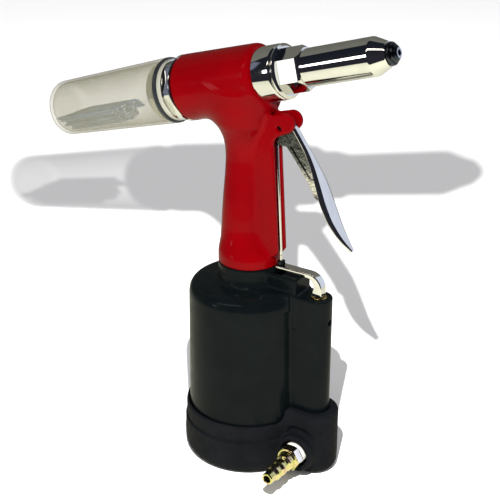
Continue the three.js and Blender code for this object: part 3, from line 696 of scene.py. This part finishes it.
tip = lathed([
    (1.6, 82.4, 0.2), (3.4, 82.4, 0.2), (4.9, 84.2), (4.9, 93.2), (6.45, 93.2, 0.35), (6.45, 94.6, 0.4),
    (5.9, 95.3), (5.7, 95.3), (5.6, 95.0), (5.4, 95.5), (5.2, 95.5), (5.1, 95.2), (4.9, 96.2, 0.2),
    (4.3, 96.9), (4.1, 96.9), (4.0, 96.7), (3.6, 97.5, 0.2), (3.0, 98.0, 0.1), (2.85, 98.2, 0.08),
    (1.75, 98.2, 0.08), (1.6, 98.0, 0.08)], BARREL, 72)
finish_part(tip, bare_tip, BARREL, lambda spot, way: spot.z > 98.12)
as_piece("nosepiece_turned", tip, "frame", "nosepiece", slot="black_oxide")

# ------------------------------------------------------------------ rear cap, seal and mandrel bottle
CAP_HEX = (16.2, -50.8, -45.2, 0)
cap = lathed([
    (12.4, -37, 0.3), (15.9, -37, 0.3), (15.9, -43.3), (19.4, -43.3, 0.4), (20.0, -43.9, 0.3),
    (20.0, -44.5, 0.3), (18.7, -45.18), (18.7, -45.22), (18.6, -45.6), (18.6, -49.6), (18.0, -50.3),
    (17.4, -50.78), (17.6, -50.82), (18.5, -51.0, 0.3), (18.7, -51.6, 0.4), (18.7, -54.3, 0.3),
    (16.6, -54.3, 0.2), (16.6, -56.7, 0.2), (18, -56.7, 0.3), (18, -57.8, 0.3), (17.4, -63, 0.6),
    (14.5, -66, 0.6), (7, -66, 0.3), (7, -42.4, 0.3), (12.4, -40.4, 0.3)], BARREL, 120, CAP_HEX, 20)
finish_part(cap, satin_chrome, BARREL, lambda spot, way: -54.2 < spot.z < -50.9 and abs(way.z) < 0.5)
as_piece("rear_cap_turned", cap, "frame", "rear_cap", slot="chrome")


def ring_outline(inner, outer, low, high):
    """An O-ring squeezed into its groove."""
    centre, rise = (inner + outer) / 2, (outer - inner) / 2
    waist, half = (low + high) / 2, (high - low) / 2
    turns = [2 * math.pi * k / 20 for k in range(20)]
    squeeze = 0.8
    return [(centre + rise * math.copysign(abs(math.cos(t)) ** squeeze, math.cos(t)),
             waist + half * math.copysign(abs(math.sin(t)) ** squeeze, math.sin(t))) for t in turns]


as_piece("rear_cap_o_ring", lathed(ring_outline(17.0, 20.0, -57.0, -54.3), BARREL, 96, None, 60),
         "frame", "rear_cap_seal", slot="seal_rubber")

BOTTLE_REAR, BOTTLE_MOUTH = -147.8, -57.4
BOTTLE_REAR_RADIUS, BOTTLE_MOUTH_RADIUS, BOTTLE_WALL = 17.6, 20.0, 1.4
as_piece("mandrel_bottle", lathed([
    (0, BOTTLE_REAR + 0.5), (9, BOTTLE_REAR + 0.5, 0.6), (10, BOTTLE_REAR, 0.6),
    (BOTTLE_REAR_RADIUS, BOTTLE_REAR, 4.2), (BOTTLE_MOUTH_RADIUS - 0.1, BOTTLE_MOUTH - 4, 0.5),
    (BOTTLE_MOUTH_RADIUS, BOTTLE_MOUTH - 3.6, 0.4), (BOTTLE_MOUTH_RADIUS, BOTTLE_MOUTH, 0.6),
    (BOTTLE_MOUTH_RADIUS - BOTTLE_WALL, BOTTLE_MOUTH, 0.4),
    (BOTTLE_REAR_RADIUS - BOTTLE_WALL, BOTTLE_REAR + BOTTLE_WALL + 0.5, 3.4),
    (0, BOTTLE_REAR + BOTTLE_WALL + 0.5)], BARREL), "collector", "mandrel_collector", slot="clear_plastic")


def spent_mandrels():
    """Thin broken-off rods lying in a pile on the lower wall of the bottle."""
    draw = random.Random(7)
    shape = bmesh.new()
    radius, pitch = 0.95, 2.05
    rear_ends, front_ends = -143.2, -97.0
    reach = BOTTLE_REAR_RADIUS - BOTTLE_WALL - radius - 0.3
    pile_top = 4.0
    row = 0
    down = reach
    while down > pile_top:
        half = math.sqrt(max(reach ** 2 - down ** 2, 0))
        count = int(2 * half / pitch)
        for i in range(count):
            side = (i - (count - 1) / 2) * pitch + draw.uniform(-0.12, 0.12)
            rear = rear_ends - 0.6 * min(row, 3) + draw.uniform(0, 4.0)
            front = front_ends + 0.5 * row + draw.uniform(-5.0, 3.0)
            lean = draw.uniform(-0.35, 0.35)
            if draw.random() < 0.1 + 0.03 * row:
                continue
            first = Vector((down + 0.15, side - lean, rear))
            last = Vector((down - 0.15, side + lean, front))
            stem(shape, first, last, radius)
        down -= pitch * 0.88
        row += 1
    bmesh.ops.transform(shape, matrix=BARREL, verts=shape.verts)
    return finished(shape, 40)


def stem(shape, first, last, radius):
    """A round rod with chamfered ends, added to a bmesh."""
    sides = 12
    way = (last - first).normalized()
    turn = way.to_track_quat("Z", "Y").to_matrix()
    rings = []
    for spot, share in ((first, 0.55), (first + way * 0.5, 1), (last - way * 0.4, 1), (last, 0.6)):
        ring = []
        for k in range(sides):
            angle = 2 * math.pi * k / sides
            across = turn @ Vector((math.cos(angle), math.sin(angle), 0))
            ring.append(shape.verts.new(spot + across * radius * share))
        rings.append(ring)
    for here, there in zip(rings, rings[1:]):
        for k in range(sides):
            shape.faces.new((here[k - 1], here[k], there[k], there[k - 1]))
    shape.faces.new(rings[0])
    shape.faces.new(rings[-1])


pile = spent_mandrels()
# The rods' front ends take the bright grey as painted highlights.
finish_part(pile, painted_highlight_grey, BARREL, lambda spot, way: way.z > 0.95)
as_piece("spent_mandrel_pile", pile, "collector", "spent_mandrels", slot="mandrel_steel")

# ------------------------------------------------------------------ trigger
TRIGGER_FRONT = [(28.4, 229.8), (37.4, 217.4), (44.6, 206.4), (51.0, 194.2), (56.0, 182.4), (61.2, 171.4),
                 (66.8, 162.6), (72.4, 155.8)]
leaf_half_width = eased([(155.8, 1.2), (158, 2.6), (164, 4.9), (173, 7.0), (183, 7.5), (194, 6.2), (203, 4.1),
                         (211, 2.8), (229.8, 2.6)], 1.5)
leaf_roll = eased([(155.8, 0.5), (164, 1.1), (183, 1.7), (200, 1.1), (211, 0.9), (229.8, 0.8)], 2.0)
leaf_keel = eased([(155.8, 0.2), (162, 2.0), (170, 4.6), (180, 4.6), (186, 2.0), (190, 0.3),
                   (229.8, 0.3)], 1.5)


def trigger_leaf():
    line = smooth_line([Vector(point) for point in TRIGGER_FRONT], 8)
    spread = 28
    sections = []
    for i, spot in enumerate(line):
        way = (line[min(i + 1, len(line) - 1)] - line[max(i - 1, 0)]).normalized()
        back = Vector((way.y, -way.x))
        half = float(leaf_half_width(spot.y))
        roll = float(leaf_roll(spot.y))
        rib = float(leaf_keel(spot.y))
        thick = 1.9 if spot.y > 160 else 1.5
        front, rear = [], []
        for k in range(spread + 1):
            share = math.sin(math.pi * (k / spread - 0.5))
            side = half * share
            edge = (1 - share ** 8) ** 0.5
            depth = roll * (0.15 * share ** 2 + 0.85 * share ** 6)
            keel = rib / (1 + (abs(side) / 1.7) ** 8)
            front.append((side, depth + 0.5 * (1 - edge)))
            rear.append((side, depth + 0.5 + (thick - 0.5) * edge + keel))
        ring = front + rear[-2:0:-1]
        sections.append([Vector((spot.x + back.x * depth, side, spot.y + back.y * depth))
                         for side, depth in ring])
    return swept(sections, 50)


as_piece("trigger_leaf", trigger_leaf(), "trigger", "trigger", slot="chrome")

WEB = [(29.9, 227.1), (44.8, 202.6), (51.6, 189.0), (51.6, 184.6), (49.0, 183.2), (46.6, 184.8),
       (45.0, 188.4), (42.0, 193.2), (37.2, 200.0), (31.6, 207.4), (27.6, 212.0), (20.8, 212.0),
       (18.2, 218.2), (21.2, 225.8)]


def trigger_web_field(x, y, z):
    web = polygon(x, z, WEB) - 0.7
    hub = union(np.hypot(x - PIVOT.x, z - PIVOT.z) - 5.1, polygon(x, z, [(16.6, 218.6), (24, 218.6),
                                                                         (24, 225.2),
                                                                        (16.6, 225.2)]) - 0.6)
    plate = overlap(union(web, hub, 1.5), np.abs(y) - 2.4, 1.4)
    pocket = polygon(x, z, [(33.5, 217.5), (42.6, 203.2), (46.5, 195.4), (44.0, 195.4), (38.6, 202.6),
                            (31.0, 212.4)])
    pocket = overlap(pocket - 0.6, 1.7 - np.abs(y), 0.4)
    slot = overlap(polygon(x, z, [(10, 221.4), (21.4, 221.4), (23.6, 217.4), (26.6, 211), (26.6, 200.4),
                                  (10, 200.4)]), np.abs(y) - 1.6)
    notch = union(np.hypot(x - ROD_HEAD.x, z - ROD_HEAD.z) - 2.2,
                  overlap(slab(z, ROD_HEAD.z - 2.2, ROD_HEAD.z + 2.2), x - ROD_HEAD.x))
    pin = np.hypot(x - PIVOT.x, z - PIVOT.z) - 2.1
    return carve(carve(plate, pocket, 0.6), union(union(slot, notch), pin), 0.4)


as_piece("trigger_web", cast(trigger_web_field, (15.5, -2.6, 182), (54, 2.6, 229), 0.35), "trigger",
         slot="chrome", material=chrome_painted_shade_and_reflection())

as_piece("trigger_pin_turned", lathed([
    (0, -3.7), (0.5, -3.7, 0.1), (0.7, -4.0, 0.1), (1.5, -4.0, 0.35), (1.5, 4.0, 0.35), (0.7, 4.0, 0.1),
    (0.5, 3.7, 0.1), (0, 3.7)], across_at(PIVOT, NEAR), 32),
    "frame", "trigger_pin", slot="steel", material=FINISHES["black_oxide"])

# ------------------------------------------------------------------ push rod, its nuts and the valve lever
ROD_WAY = (ROD_HEAD - ROD_FOOT).normalized()
ROD_PLACE = Matrix.Translation(ROD_FOOT) @ ROD_WAY.to_track_quat("Z", "Y").to_matrix().to_4x4()
ROD_LENGTH = (ROD_HEAD - ROD_FOOT).length


def threaded(radius, depth, low, high, pitch):
    """Outline points of thread ridges between two heights."""
    count = int((high - low) / pitch)
    ridges = []
    for k in range(count):
        ridges += [(radius - depth, low + pitch * k), (radius, low + pitch * (k + 0.5))]
    return ridges


as_piece("push_rod_turned", lathed([
    (0, 0), (0.75, 0, 0.1), *threaded(1.0, 0.14, 0.4, 14, 0.5), (1.0, 14.4), (1.0, ROD_LENGTH),
    (0, ROD_LENGTH)], ROD_PLACE, 32, None, 60), "valve_linkage", "push_rod", slot="chrome")
as_piece("push_rod_head", lathed([
    (0, -2.5), (1.9, -2.5, 0.3), (1.9, 2.5, 0.3), (0, 2.5)], across_at(ROD_HEAD, NEAR), 32), "valve_linkage",
    slot="steel")


def nut_outline(inner, corner, low, high):
    """A hexagon nut's outline, chamfered at both faces."""
    chamfer = 0.3
    return [(inner, low), (corner - 0.55, low), (corner - 0.25, low + chamfer * 0.5), (corner, low + chamfer),
            (corner, high - chamfer), (corner - 0.25, high - chamfer * 0.5), (corner - 0.55, high),
            (inner, high)]


for node in ("push_rod_nut", "push_rod_locknut"):
    low, high = lowest(node), highest(node)
    spot = middle(node)
    as_piece(f"{node}_hexagon", lathed(nut_outline(1.15, 2.8, low.z, high.z),
             Matrix.Translation((spot.x, 0, 0)), 72, (2.4, low.z, high.z, math.pi / 2), 25),
             "valve_linkage", node, slot="black_oxide")


def lever_path():
    """The lever's outer face: along, round a wide bend, and down onto the valve."""
    bend = 9.6
    across = VALVE_X + 3.1
    path = [Vector((x, LEVER_TOP)) for x in np.linspace(21.9, across - bend, 8)]
    for k in range(1, 17):
        angle = math.pi / 2 * (1 - k / 16)
        path.append(Vector((across - bend + bend * math.cos(angle),
                            LEVER_TOP - bend + bend * math.sin(angle))))
    path += [Vector((across, z)) for z in np.linspace(LEVER_TOP - bend - 0.6, LEVER_FOOT, 4)]
    return path


def valve_lever():
    """A folded strip: a flat back with a flange along each edge, open on the inner side."""
    half, sheet = 3.25, 0.8
    path = lever_path()
    sections = []
    for i, spot in enumerate(path):
        way = (path[min(i + 1, len(path) - 1)] - path[max(i - 1, 0)]).normalized()
        inward = Vector((way.y, -way.x))
        travel = i / (len(path) - 1)
        depth = 2.9 + 3.4 * max(0, travel - 0.3) / 0.7
        outline = softened([
            (-half, 0, 0.7), (half, 0, 0.7), (half, depth, 0.3), (half - sheet, depth, 0.3),
            (half - sheet, sheet, 0.4), (-half + sheet, sheet, 0.4), (-half + sheet, depth, 0.3),
            (-half, depth, 0.3)], 4)
        sections.append([Vector((spot.x + inward.x * deep, side, spot.y + inward.y * deep))
                         for side, deep in outline])
    return swept(sections, 40)


as_piece("valve_lever_folded", valve_lever(), "valve_linkage", "valve_lever", slot="chrome")

# ------------------------------------------------------------------ valve parts in the boss
bushing_top = highest("valve_bushing").z
as_piece("valve_bushing_turned", lathed([
    (2.5, bushing_top - 13.3, 0.2), (4.9, bushing_top - 13.3, 0.2), (4.9, bushing_top, 0.35),
    (3.4, bushing_top, 0.3), (2.9, bushing_top - 0.7, 0.2), (2.5, bushing_top - 0.9, 0.2)],
    Matrix.Translation((VALVE_X, 0, 0)), 64), "frame", "valve_bushing", slot="brass")

# ------------------------------------------------------------------ air cylinder
CYLINDER_TOP = 120.4
BOSS_X = 49.8
BOSS_HALF = 9.0
RIB_TOP = COLLAR_BOTTOM - 2.2
RIB_END = 39.4
CYLINDER_TAPER = 1.4 / 112.6


def air_cylinder_field(x, y, z):
    radial = np.hypot(x, y)
    shell = radial - (CYLINDER_RADIUS - CYLINDER_TAPER * (z - CYLINDER_BOTTOM))
    crown = z - (CYLINDER_TOP + 2.2 * (1 - np.minimum(radial / 33, 1) ** 2))
    shell = overlap(overlap(shell, crown, 8.5), CYLINDER_BOTTOM - z, 0.8)
    neck_radius = 19.5 + 0.7 * np.clip((127 - z) / 5, 0, 1)
    neck = overlap(np.hypot(x - COLLAR_X, y) - neck_radius, slab(z, 110, COLLAR_BOTTOM - 0.3), 0.8)
    boss = overlap(tongue(x, y, BOSS_X, BOSS_HALF), slab(z, 5, CYLINDER_TOP), 0.9)
    boss = overlap(boss, 10 - x)
    rib = overlap(overlap(overlap(np.abs(y) - BOSS_HALF, x - RIB_END, 1.2), z - RIB_TOP, 1.6), 100 - z)
    rib = overlap(rib, 4 - x)
    pad = polygon(x, y, [(6, -17), (24, -17), (35, -11), (35, 11), (24, 17), (6, 17)])
    pad = overlap(pad - 1, z - CYLINDER_TOP - 1.9, 1.6)
    body = union(shell, overlap(pad, 112 - z), 2.6)
    body = union(body, neck, 2.4)
    body = union(body, boss, 1.8)
    body = union(body, rib, 1.8)
    for bump_x, bump_y in ((22.5, -19.5), (9, -26)):
        dome = np.sqrt((x - bump_x) ** 2 + (y - bump_y) ** 2 + ((z - CYLINDER_TOP - 0.3) * 0.8) ** 2) - 1.7
        body = union(body, dome, 1.8)
    inlet = overlap(np.hypot(x - INLET.x, z - INLET.z) - 8.4, slab(y, -15.7, 0))
    body = union(body, inlet, 0.5)

    pocket = overlap(overlap(slab(x, 21.2, 27.8), slab(y, -6.6, 4.6)), 126 - z)
    bore = union(overlap(radial - 34, z - 112.9, 2), overlap(radial - 35.4, z - 16.4))
    bore = union(bore, radial - 10)
    valve = np.hypot(x - VALVE_X, y) - 5.1
    inlet_bore = overlap(np.hypot(x - INLET.x, z - INLET.z) - 6, slab(y, -30, 2))
    exhaust = overlap(np.hypot(y, z - 104.8) - 1.9, VALVE_X - x)
    holes = union(union(pocket, valve), union(inlet_bore, exhaust))
    return carve(carve(body, bore), holes, 0.6)


as_piece("air_cylinder_casting",
         cast(air_cylinder_field, (-39, -39, CYLINDER_BOTTOM), (59.4, 39, COLLAR_BOTTOM), 0.8), "frame",
         "air_cylinder", slot="black_casting")

# ------------------------------------------------------------------ base cover
BOOT_RIDGE = 23.8
BOOT_ROUND = 8.5
BOOT_TOP = 36.1
POD_HALF = 15.0


def base_cover_field(x, y, z):
    radial = np.hypot(x, y)
    ledge = 0.9 / (1 + np.exp(-(z - BOOT_RIDGE - 0.5) * 6))
    crease = 0.5 * np.exp(-((z - BOOT_RIDGE - 0.9) / 0.7) ** 2)
    step_in = ledge + crease
    drum = overlap(overlap(radial - (BOOT_RADIUS - step_in), z - BOOT_TOP, 3.0), -z, BOOT_ROUND)
    pod = overlap(overlap(tongue(x, y, BOSS_X, POD_HALF), z - POD_TOP, 3.6), -z, BOOT_ROUND)
    pod = overlap(pod, 12 - x, 3)
    bulge = np.hypot(x - INLET.x, z - INLET.z)
    mouth = overlap(bulge - 12.4, slab(y, -20.4, 2), 1.4)
    body = union(union(drum, pod, 6), mouth, 2.0)
    groove = overlap(np.hypot(bulge - 14.4, y + 15.4) - 1.8, 40 - x, 1)
    body = carve(body, groove, 1.6)
    body = overlap(body, -z)
    hollow = union(overlap(radial - (CYLINDER_RADIUS + 0.3), 3 - z),
                   overlap(tongue(x, y, BOSS_X, BOSS_HALF + 0.3), 4.7 - z))
    recess = overlap(bulge - 9, y)
    return carve(carve(body, hollow, 0.9), recess, 0.9)


as_piece("base_cover_boot", cast(base_cover_field, (-41.6, -41.6, 0), (65, 41.6, POD_TOP), 0.9), "frame",
         "base_cover", slot="black_rubber")

# ------------------------------------------------------------------ air inlet
as_piece("inlet_thread_seal", lathed([
    (5.7, 16, 0.2), (6.8, 16, 0.2), *threaded(7.2, 0.22, 16.3, 20.6, 0.9), (6.9, 21, 0.2), (5.7, 21, 0.2)],
    INLET_PLACE, 72, None, 50), "frame", "inlet_thread_ring", slot="white_plastic")

PLUG_HEX = (7.0, 21.29, 27.42, math.pi / 6)
plug = lathed([
    (2.3, 9), (5.4, 9), (5.4, 21.28), (7.2, 21.3), (7.7, 21.6), (8.08, 22.0), (8.08, 26.8), (7.6, 27.1),
    (7.1, 27.4), (6.2, 27.45, 0.3), (5.6, 28.4, 0.4), (5.6, 32.4, 0.5), (3.9, 33.6, 0.5), (3.9, 35.4, 0.4),
    (5.2, 36.4, 0.4), (5.2, 38.8, 0.4), (4.1, 40.4, 0.4), (4.1, 41.4, 0.4), (4.9, 42.2, 0.4),
    (4.9, 44.8, 0.4), (3.8, 46.4, 0.5), (3.8, 51.4, 0.4), (3.4, 52, 0.2), (2.6, 52, 0.2),
    (2.3, 51.6, 0.2)], INLET_PLACE, 96, PLUG_HEX, 26)
# The upper forward hexagon flat, the one facing the lamp, takes the bright grey as a painted highlight.
finish_part(plug, painted_highlight_grey, INLET_PLACE,
            lambda spot, way: 22.1 < spot.z < 26.8 and abs(way.z) < 0.1 and way.x > 0.8 and way.y > 0)
as_piece("air_inlet_plug_turned", plug, "frame", "air_inlet_plug", slot="zinc_yellow")

# ------------------------------------------------------------------ oil filling screw on the far side

def bleed_screw_field(x, y, z):
    across = np.hypot(x - SCREW.x, z - SCREW.z)
    head = overlap(across - 4, slab(y, 19.9, 22.6), 0.7)
    shank = overlap(across - 2.2, slab(y, 15.2, 21), 0.4)
    flats = np.maximum.reduce([np.abs((x - SCREW.x) * math.cos(a) + (z - SCREW.z) * math.sin(a)) - 1.5
                               for a in (0, math.pi / 3, 2 * math.pi / 3)])
    return carve(union(head, shank), overlap(flats, 20.9 - y), 0.15)


as_piece("bleed_screw_socket", cast(bleed_screw_field, (SCREW.x - 4.1, 15.2, SCREW.z - 4.1),
         (SCREW.x + 4.1, 22.6, SCREW.z + 4.1), 0.25), "frame", "bleed_screw", slot="steel")
as_piece("bleed_screw_washer_turned", lathed([
    (2.5, 18.8, 0.15), (4.2, 18.8, 0.2), (4.2, 19.6, 0.2), (2.5, 19.6, 0.15)],
    across_at(SCREW, FAR), 64), "frame", "bleed_screw_washer", slot="brass")

# ------------------------------------------------------------------ finishes of the CAD nodes that stay
for subpart in frame["record"]["subparts"]:
    node = frame["nodes"][subpart["node"]]
    node.data.materials.clear()
    node.data.materials.append(FINISHES[subpart["material_slot"]])

# ------------------------------------------------------------------ floor, light and camera
AZIMUTH = math.radians(32.78)
ELEVATION = math.radians(23.93)
DISTANCE = 665.0
TARGET = Vector((2.2, -1.7, 140.2))
LENS = 77.7
SENSOR_WIDTH = 36
FLOOR_REACH = 30.0         # metres
PAPER_REACH = 0.6          # metres
LAMP = Vector((172, -280, 407))
LAMP_SIZE = 0.003          # metres
LAMP_STRENGTH = 88
AMBIENT = (0.56, 0.56, 0.57)


def pale_floor():
    """White paper. Polished parts see it warmer, and only as far as PAPER_REACH."""
    finish = Finish("pale_floor", Specular_IOR_Level=0.1)
    tree = finish.tree
    paper = ramp(tree, finish.noise(300), (0.3, (0.93, 0.93, 0.93)), (0.7, (0.94, 0.94, 0.94)))
    polished = finish.add("ShaderNodeLightPath").outputs["Is Glossy Ray"]
    finish.link(blend(tree, polished, paper, (0.56, 0.55, 0.44)), finish.shader.inputs["Base Color"])
    finish.vary("Roughness", finish.noise(40), 0.8, 0.9)
    place = finish.add("ShaderNodeNewGeometry").outputs["Position"]
    reach = calculate(tree, "LENGTH", place, kind="ShaderNodeVectorMath")
    beyond = both(tree, polished, gate(tree, reach, PAPER_REACH, PAPER_REACH * 1.06))
    mix = finish.add("ShaderNodeMixShader")
    finish.link(beyond, mix.inputs[0])
    finish.link(finish.shader.outputs["BSDF"], mix.inputs[1])
    finish.link(finish.add("ShaderNodeBsdfTransparent").outputs["BSDF"], mix.inputs[2])
    finish.link(mix.outputs["Shader"], tree.nodes["Material Output"].inputs["Surface"])
    return finish.material


def add_floor():
    shape = bmesh.new()
    corners = ((-1, -1), (1, -1), (1, 1), (-1, 1))
    shape.faces.new([shape.verts.new((x * FLOOR_REACH, y * FLOOR_REACH, 0)) for x, y in corners])
    mesh = bpy.data.meshes.new("floor")
    shape.to_mesh(mesh)
    shape.free()
    mesh.materials.append(pale_floor())
    floor = bpy.data.objects.new("floor", mesh)
    bpy.context.scene.collection.objects.link(floor)


def add_world():
    """Even light for what is matte, and bright panels in a dark room for what is polished."""
    world = bpy.data.worlds.new("studio")
    bpy.context.scene.world = world
    world.use_nodes = True
    tree = world.node_tree
    where = tree.nodes.new("ShaderNodeTexCoord").outputs["Generated"]
    split = tree.nodes.new("ShaderNodeSeparateXYZ")
    tree.links.new(where, split.inputs["Vector"])
    to_the_right = split.outputs["X"]
    rise = calculate(tree, "ABSOLUTE", split.outputs["Z"])
    front = calculate(tree, "DOT_PRODUCT", where, (math.sin(AZIMUTH), -math.cos(AZIMUTH), 0),
                      kind="ShaderNodeVectorMath")
    along = calculate(tree, "DOT_PRODUCT", where, tuple(NOSE_WAY), kind="ShaderNodeVectorMath")
    arc = calculate(tree, "DIVIDE", calculate(tree, "ARCTAN2", rise, front), math.pi)

    room = ramp(tree, arc, (0.0, (0.03, 0.03, 0.04)), (0.62, (0.012, 0.016, 0.026)),
                (0.635, (0.24, 0.24, 0.21)), (0.80, (0.20, 0.20, 0.18)), (1.0, (0.15, 0.15, 0.12)))
    strip = both(tree, gate(tree, split.outputs["Z"], 0, 0.01), gate(tree, arc, 0.045, 0.051),
                 gate(tree, arc, 0.188, 0.182), gate(tree, along, -0.54, -0.532), gate(tree, along, -0.42,
                                                                                       -0.43))
    room = blend(tree, strip, room, (7.0, 7.0, 7.2))
    window = both(tree, gate(tree, arc, 0.30, 0.305), gate(tree, arc, 0.345, 0.34),
                  gate(tree, along, -0.30, -0.28), gate(tree, along, 0.35, 0.33))
    room = blend(tree, window, room, (7.0, 6.4, 5.6))
    wall = both(tree, gate(tree, to_the_right, 0.2, 0.3), gate(tree, arc, 0.60, 0.64))
    room = blend(tree, wall, room, (0.86, 0.92, 1.12))
    door = both(tree, gate(tree, to_the_right, -0.725, -0.75), gate(tree, rise, 0.56, 0.52),
                gate(tree, arc, 0.36, 0.4), gate(tree, arc, 0.62, 0.6))
    room = blend(tree, door, room, (0.20, 0.22, 0.31))

    polished = tree.nodes.new("ShaderNodeLightPath").outputs["Is Glossy Ray"]
    matte = calculate(tree, "SUBTRACT", 1, polished)
    sky = blend(tree, matte, room, AMBIENT)
    tree.links.new(sky, tree.nodes["Background"].inputs["Color"])


def add_lamp():
    """One small lamp beside the camera, as strong far away as near, which throws a crisp wide shadow."""
    data = bpy.data.lights.new("lamp", "POINT")
    data.energy = 1
    data.shadow_soft_size = LAMP_SIZE
    data.use_nodes = True
    tree = data.node_tree
    falloff = tree.nodes.new("ShaderNodeLightFalloff")
    falloff.inputs["Strength"].default_value = LAMP_STRENGTH
    tree.links.new(falloff.outputs["Constant"], tree.nodes["Emission"].inputs["Strength"])
    lamp = bpy.data.objects.new("lamp", data)
    lamp.location = LAMP * MM
    lamp.visible_glossy = False
    lamp.visible_camera = False
    bpy.context.scene.collection.objects.link(lamp)


def add_camera():
    data = bpy.data.cameras.new("camera")
    data.lens = LENS
    data.sensor_width = SENSOR_WIDTH
    camera = bpy.data.objects.new("camera", data)
    way = Vector((-math.sin(AZIMUTH) * math.cos(ELEVATION), math.cos(AZIMUTH) * math.cos(ELEVATION),
                  -math.sin(ELEVATION)))
    camera.location = (TARGET - way * DISTANCE) * MM
    camera.rotation_euler = way.to_track_quat("-Z", "Y").to_euler()
    bpy.context.scene.collection.objects.link(camera)
    bpy.context.scene.camera = camera


add_floor()
add_world()
add_lamp()
add_camera()
bpy.context.scene.view_settings.view_transform = "Standard"
